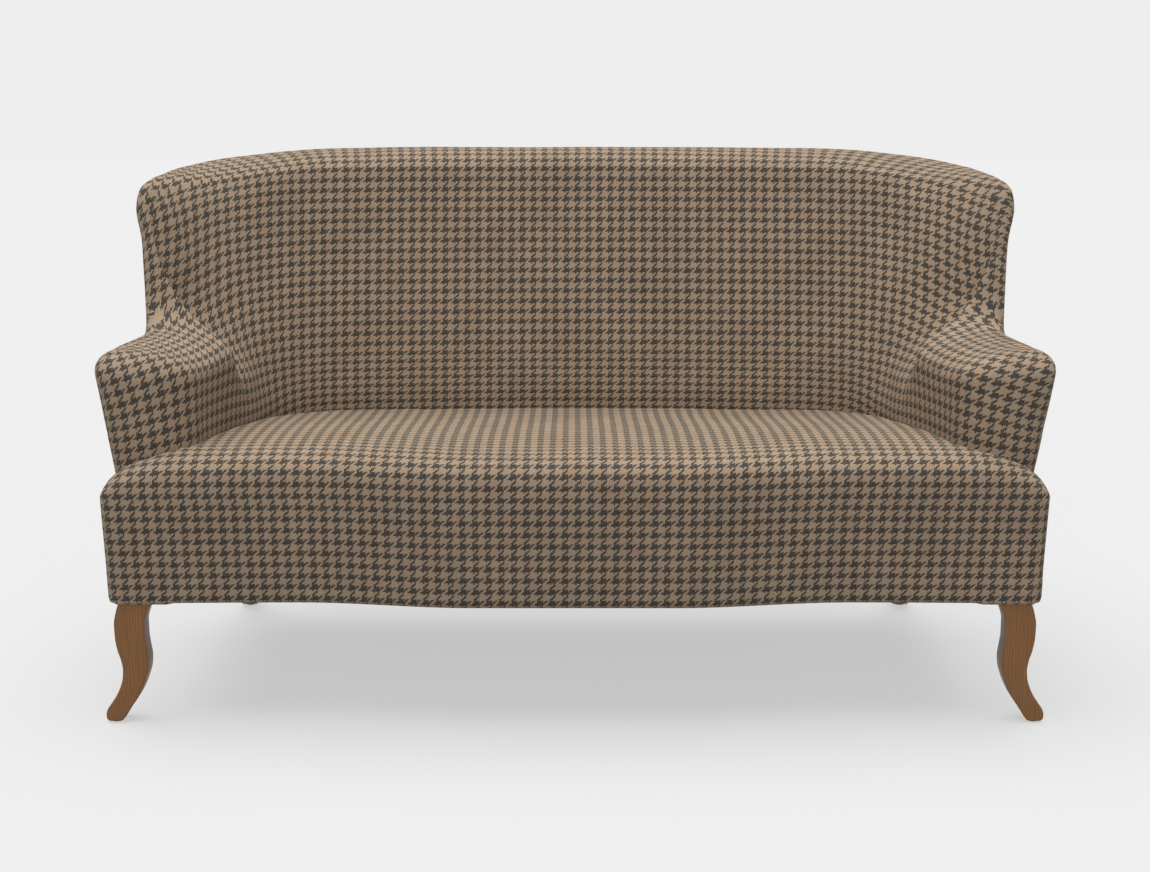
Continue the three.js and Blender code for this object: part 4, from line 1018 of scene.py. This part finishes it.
# %% Front legs
LEG_FACE_Y, LEG_DEPTH, LEG_REACH, LEG_WIDTH = -383, 45, 760, 60
LEG_FOOT, LEG_TOP = 3.3, 235.7
LEG_EASING = 3.5
# How far up, and there the outer and the inner edge, in widths of the leg from its reach.
LEG_EDGES = [(0, 1.05, 0.72), (0.02, 1.12, 0.6), (0.05, 1.13, 0.52), (0.09, 1.09, 0.44),
             (0.14, 0.96, 0.29), (0.2, 0.81, 0.14), (0.27, 0.68, 0.01), (0.34, 0.6, -0.09),
             (0.41, 0.58, -0.16), (0.48, 0.62, -0.18), (0.56, 0.71, -0.14), (0.66, 0.77, -0.1),
             (0.76, 0.78, -0.1), (0.86, 0.71, -0.2), (0.94, 0.61, -0.37), (1, 0.53, -0.52)]


def ease_edges(form, width):
    """Bevel every edge where two faces meet sharply."""
    form.normal_update()
    sharp = [e for e in form.edges if e.is_manifold and e.calc_face_angle() > math.radians(40)]
    bmesh.ops.bevel(form, geom=sharp, offset=width * MM, segments=3, profile=0.5, affect="EDGES",
                    material=-1, clamp_overlap=True)


def front_leg_place(across, share):
    outer, inner = [smooth_table([(row[0], row[k]) for row in LEG_EDGES], share) for k in (1, 2)]
    x = LEG_REACH + LEG_WIDTH * mix(inner, outer, across)
    return Vector((x, LEG_FACE_Y, mix(LEG_FOOT, LEG_TOP, share)))


for side, hand in (("right", 1), ("left", -1)):
    form = formed_grid(spaced(0, (1, 6)), spaced(0, (1, 56)), front_leg_place)[0]
    back = bmesh.ops.extrude_face_region(form, geom=form.faces[:])["geom"]
    moved = [v for v in back if isinstance(v, bmesh.types.BMVert)]
    bmesh.ops.translate(form, vec=(0, LEG_DEPTH * MM, 0), verts=moved)
    if hand < 0:
        bmesh.ops.scale(form, vec=(-1, 1, 1), verts=form.verts)
    bmesh.ops.recalc_face_normals(form, faces=form.faces)
    ease_edges(form, LEG_EASING)
    leg = new_object(side + "_sawn_front_leg", form, walnut)
    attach(leg, "root")
    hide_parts(side + "_front_leg")
print("front leg spans", [round(d, 3) for d in leg.dimensions], "m")

# %% Rear legs
REAR_TOP, REAR_SPLAY = Vector((652, 205, LEG_TOP)), Vector((0.1635112, 0.5895009, -1))
REAR_FOOT = REAR_TOP + REAR_SPLAY * (LEG_TOP - LEG_FOOT)
REAR_TOP_WIDTH, REAR_FOOT_WIDTH, REAR_SPRING = 56, 34, 26
REAR_STEPS = 24


def rear_leg_ring(share):
    """Centre and half width of the leg at a share of the way down."""
    bend = REAR_TOP.lerp(REAR_FOOT, 0.5) + Vector((0, -REAR_SPRING, 0))
    centre = REAR_TOP.lerp(bend, share).lerp(bend.lerp(REAR_FOOT, share), share)
    return centre, mix(REAR_TOP_WIDTH, REAR_FOOT_WIDTH, share) / 2


for side, hand in (("right", 1), ("left", -1)):
    form = bmesh.new()
    bmesh.ops.create_cube(form, size=2)
    uprights = [e for e in form.edges if abs(e.verts[0].co.z - e.verts[1].co.z) > 1]
    bmesh.ops.subdivide_edges(form, edges=uprights, cuts=REAR_STEPS - 1, use_grid_fill=True)
    for v in form.verts:
        centre, half_width = rear_leg_ring((1 - v.co.z) / 2)
        v.co = (centre + Vector((v.co.x, v.co.y, 0)) * half_width) * MM
        v.co.x *= hand
    bmesh.ops.recalc_face_normals(form, faces=form.faces)
    ease_edges(form, LEG_EASING)
    leg = new_object(side + "_raked_rear_leg", form, walnut)
    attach(leg, "root")
    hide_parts(side + "_rear_leg")
print("rear leg spans", [round(d, 3) for d in leg.dimensions], "m")

# %% [markdown]
# A leg stands on a glide, a low nylon disc that slides on a hard floor. It is moulded, so it is matt
# with a faint grain, and its rim is rounded.

# %% Glides
# Moulded nylon is a deep brown, clouded every 2.5 mm, with a grain of 0.4 mm.
moulded, tree = new_material("moulded_brown_nylon")
place = add(tree, "TexCoord", out="Object")
cloudy = add(tree, "TexNoise", {"Vector": place, "Scale": 400})
shade = add(tree, "Mix", {0: cloudy, 6: linear("#2b2420"), 7: linear("#3a312a")}, data_type="RGBA")
dress(tree, shade, add(tree, "TexNoise", {"Vector": place, "Scale": 2500}), 0.15, 0.0002,
      {"Roughness": 0.55})
for node in ("right_front_glide", "left_front_glide", "right_rear_glide", "left_rear_glide"):
    low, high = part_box(node)
    form = bmesh.new()
    bmesh.ops.create_cone(form, cap_ends=True, segments=40, radius1=(high.x - low.x) / 2,
                          radius2=(high.x - low.x) / 2, depth=high.z - low.z)
    bmesh.ops.translate(form, vec=(low + high) / 2, verts=form.verts)
    ease_edges(form, 0.9)
    glide = new_object(node.replace("glide", "foot_glide"), form, moulded)
    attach(glide, "root")
    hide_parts(node)
print("glides are", round((high.x - low.x) / MM), "mm wide")

# %% [markdown]
# ## Under the seat
# A thin black cloth closes the underside and hides the webs. It is stapled round its edge and sags a
# few millimetres between. Its outline is taken from a merged copy of the CAD solid's lower face,
# because that already leaves room for the legs, and it is cut into small squares so that it can sag.

# %% Dust cloth
SAG, SAG_REACH, SQUARE, CUTS = 3.5, 130, 40, 24
RIPPLE, RIPPLES_PER_METRE, SAME_PLACE = 1.5, 9, 0.00001
DUST_CUT, DUST_CLOTH = (1.64, 0.72), 0.8
# Spun cloth is dull black, with fibres 0.7 mm apart and a bonded dot every 2.4 mm.
spun, tree = new_material("spun_black_dust_cloth")
place = add(tree, "TexCoord", out="Object")
lengthways = add(tree, "Mapping", {"Vector": place, "Scale": (1, 0.25, 1)})
fibre = add(tree, "TexNoise", {"Vector": lengthways, "Scale": 1400, "Detail": 4, "Roughness": 0.7})
spot = add(tree, "TexVoronoi", {"Vector": place, "Scale": 420})
bonded = add(tree, "Math", (spot, 0.25), operation="LESS_THAN")
shade = add(tree, "Mix", {0: fibre, 6: linear("#131313"), 7: linear("#2b2a29")}, data_type="RGBA")
height = add(tree, "Math", (bonded, -0.6, fibre), operation="MULTIPLY_ADD")
dress(tree, shade, height, 0.4, 0.0004, {"Roughness": 0.85})
form = bmesh.new()
form.from_mesh(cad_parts["dust_cover"].data)
bmesh.ops.remove_doubles(form, verts=form.verts, dist=SAME_PLACE)
form.normal_update()
upper = [f for f in form.faces if f.normal.z > -0.5]
bmesh.ops.delete(form, geom=upper, context="FACES")
bmesh.ops.dissolve_limit(form, angle_limit=0.01, verts=form.verts, edges=form.edges)
for normal in (Vector((1, 0, 0)), Vector((0, 1, 0))):
    for k in range(-CUTS, CUTS + 1):
        everything = form.verts[:] + form.edges[:] + form.faces[:]
        bmesh.ops.bisect_plane(form, geom=everything, plane_co=normal * SQUARE * MM * k,
                               plane_no=normal, dist=SAME_PLACE)
stapled = nearest([v for v in form.verts if v.is_boundary])
for v in form.verts:
    share = ease(stapled.find(v.co)[2] / MM, 0, SAG_REACH)
    v.co.z -= share * (SAG + RIPPLE * noise.noise(v.co * RIPPLES_PER_METRE)) * MM
area = sum(f.calc_area() for f in form.faces)
dust_cloth = new_object("spun_dust_cloth", form, spun)
thicken(dust_cloth, DUST_CLOTH)
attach(dust_cloth, "root")
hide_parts("dust_cover")
print("dust cloth:", [round(d, 3) for d in dust_cloth.dimensions], "m,", round(area, 3), "square metres")

# %% [markdown]
# ## Inside the cover
# The frame, webs, hessian, linings and bolts are CAD nodes and keep their shapes. They are hidden once
# the settee is covered, but anyone who takes the model apart sees them, so each gets its own finish:
# bare planed beech, woven jute, undyed felt and bright steel.

# %% Finishes of the hidden pieces
# Planed beech is pale and close grained, with short flecks 1.4 mm wide and a drift of tone at 38 mm.
beech, tree = new_material("bare_planed_beech")
place = add(tree, "TexCoord", out="Object")
lengthways = add(tree, "Mapping", {"Vector": place, "Scale": (0.08, 1, 1)})
drift = add(tree, "TexNoise", {"Vector": lengthways, "Scale": 26, "Detail": 3})
rays = add(tree, "TexNoise", {"Vector": lengthways, "Scale": 700, "Detail": 1})
fleck = add(tree, "Math", (rays, 0.64), operation="GREATER_THAN")
fleck = add(tree, "Math", (fleck, 0.5), operation="MULTIPLY")
pale = add(tree, "Mix", {0: drift, 6: linear("#d9b587"), 7: linear("#c79b69")}, data_type="RGBA")
pale = add(tree, "Mix", {0: fleck, 6: pale, 7: linear("#96683f")}, data_type="RGBA")
planed = add(tree, "TexNoise", {"Vector": lengthways, "Scale": 500})
dress(tree, pale, planed, 0.2, 0.0004, {"Roughness": 0.6})

# Jute is woven plainly of coarse hairy yarn 2 mm wide, whose over and under show as a chequer.
jute, tree = new_material("woven_jute")
place = add(tree, "TexCoord", out="Object")
chequer = add(tree, "TexChecker", {"Vector": place, "Scale": 500}, "Fac")
hair = add(tree, "TexNoise", {"Vector": place, "Scale": 900, "Detail": 3, "Roughness": 0.7})
shade = add(tree, "Math", (hair, 0.5), operation="MULTIPLY")
shade = add(tree, "Math", (chequer, 0.4, shade), operation="MULTIPLY_ADD")
shade = add(tree, "Mix", {0: shade, 6: linear("#b08d5c"), 7: linear("#7e5f38")}, data_type="RGBA")
height = add(tree, "Math", (chequer, hair), operation="ADD")
dress(tree, shade, height, 0.6, 0.0008, {"Roughness": 0.9})

# Felted wadding is undyed and matt, with tufts 4.5 mm across.
wadding, tree = new_material("undyed_wadding")
place = add(tree, "TexCoord", out="Object")
tuft = add(tree, "TexNoise", {"Vector": place, "Scale": 220, "Detail": 4, "Roughness": 0.7})
shade = add(tree, "Mix", {0: tuft, 6: linear("#efe8da"), 7: linear("#d3c8b4")}, data_type="RGBA")
dress(tree, shade, tuft, 0.7, 0.0012, {"Roughness": 0.95})

# Zinc plated steel is bright, with scratches 0.3 mm wide that break up its gloss.
steel, tree = new_material("bright_plated_steel")
place = add(tree, "TexCoord", out="Object")
lengthways = add(tree, "Mapping", {"Vector": place, "Scale": (1, 1, 0.1)})
scratch = add(tree, "TexNoise", {"Vector": lengthways, "Scale": 3000})
shade = add(tree, "Mix", {0: scratch, 6: linear("#b9bcc0"), 7: linear("#a3a6ab")}, data_type="RGBA")
dress(tree, shade, scratch, 0.1, 0.0001, {"Roughness": 0.32, "Metallic": 1})

FINISHES = {"cloth": wool, "dust_cloth": spun, "wadding": wadding, "jute": jute, "beech": beech,
            "walnut": walnut, "steel": steel, "nylon": moulded}
finished = 0
for name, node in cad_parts.items():
    for place in node.material_slots:
        kind = place.material.name.split(".")[0]
        place.material = FINISHES[kind]
        finished += 1
print("finished", finished, "slots of the CAD nodes")
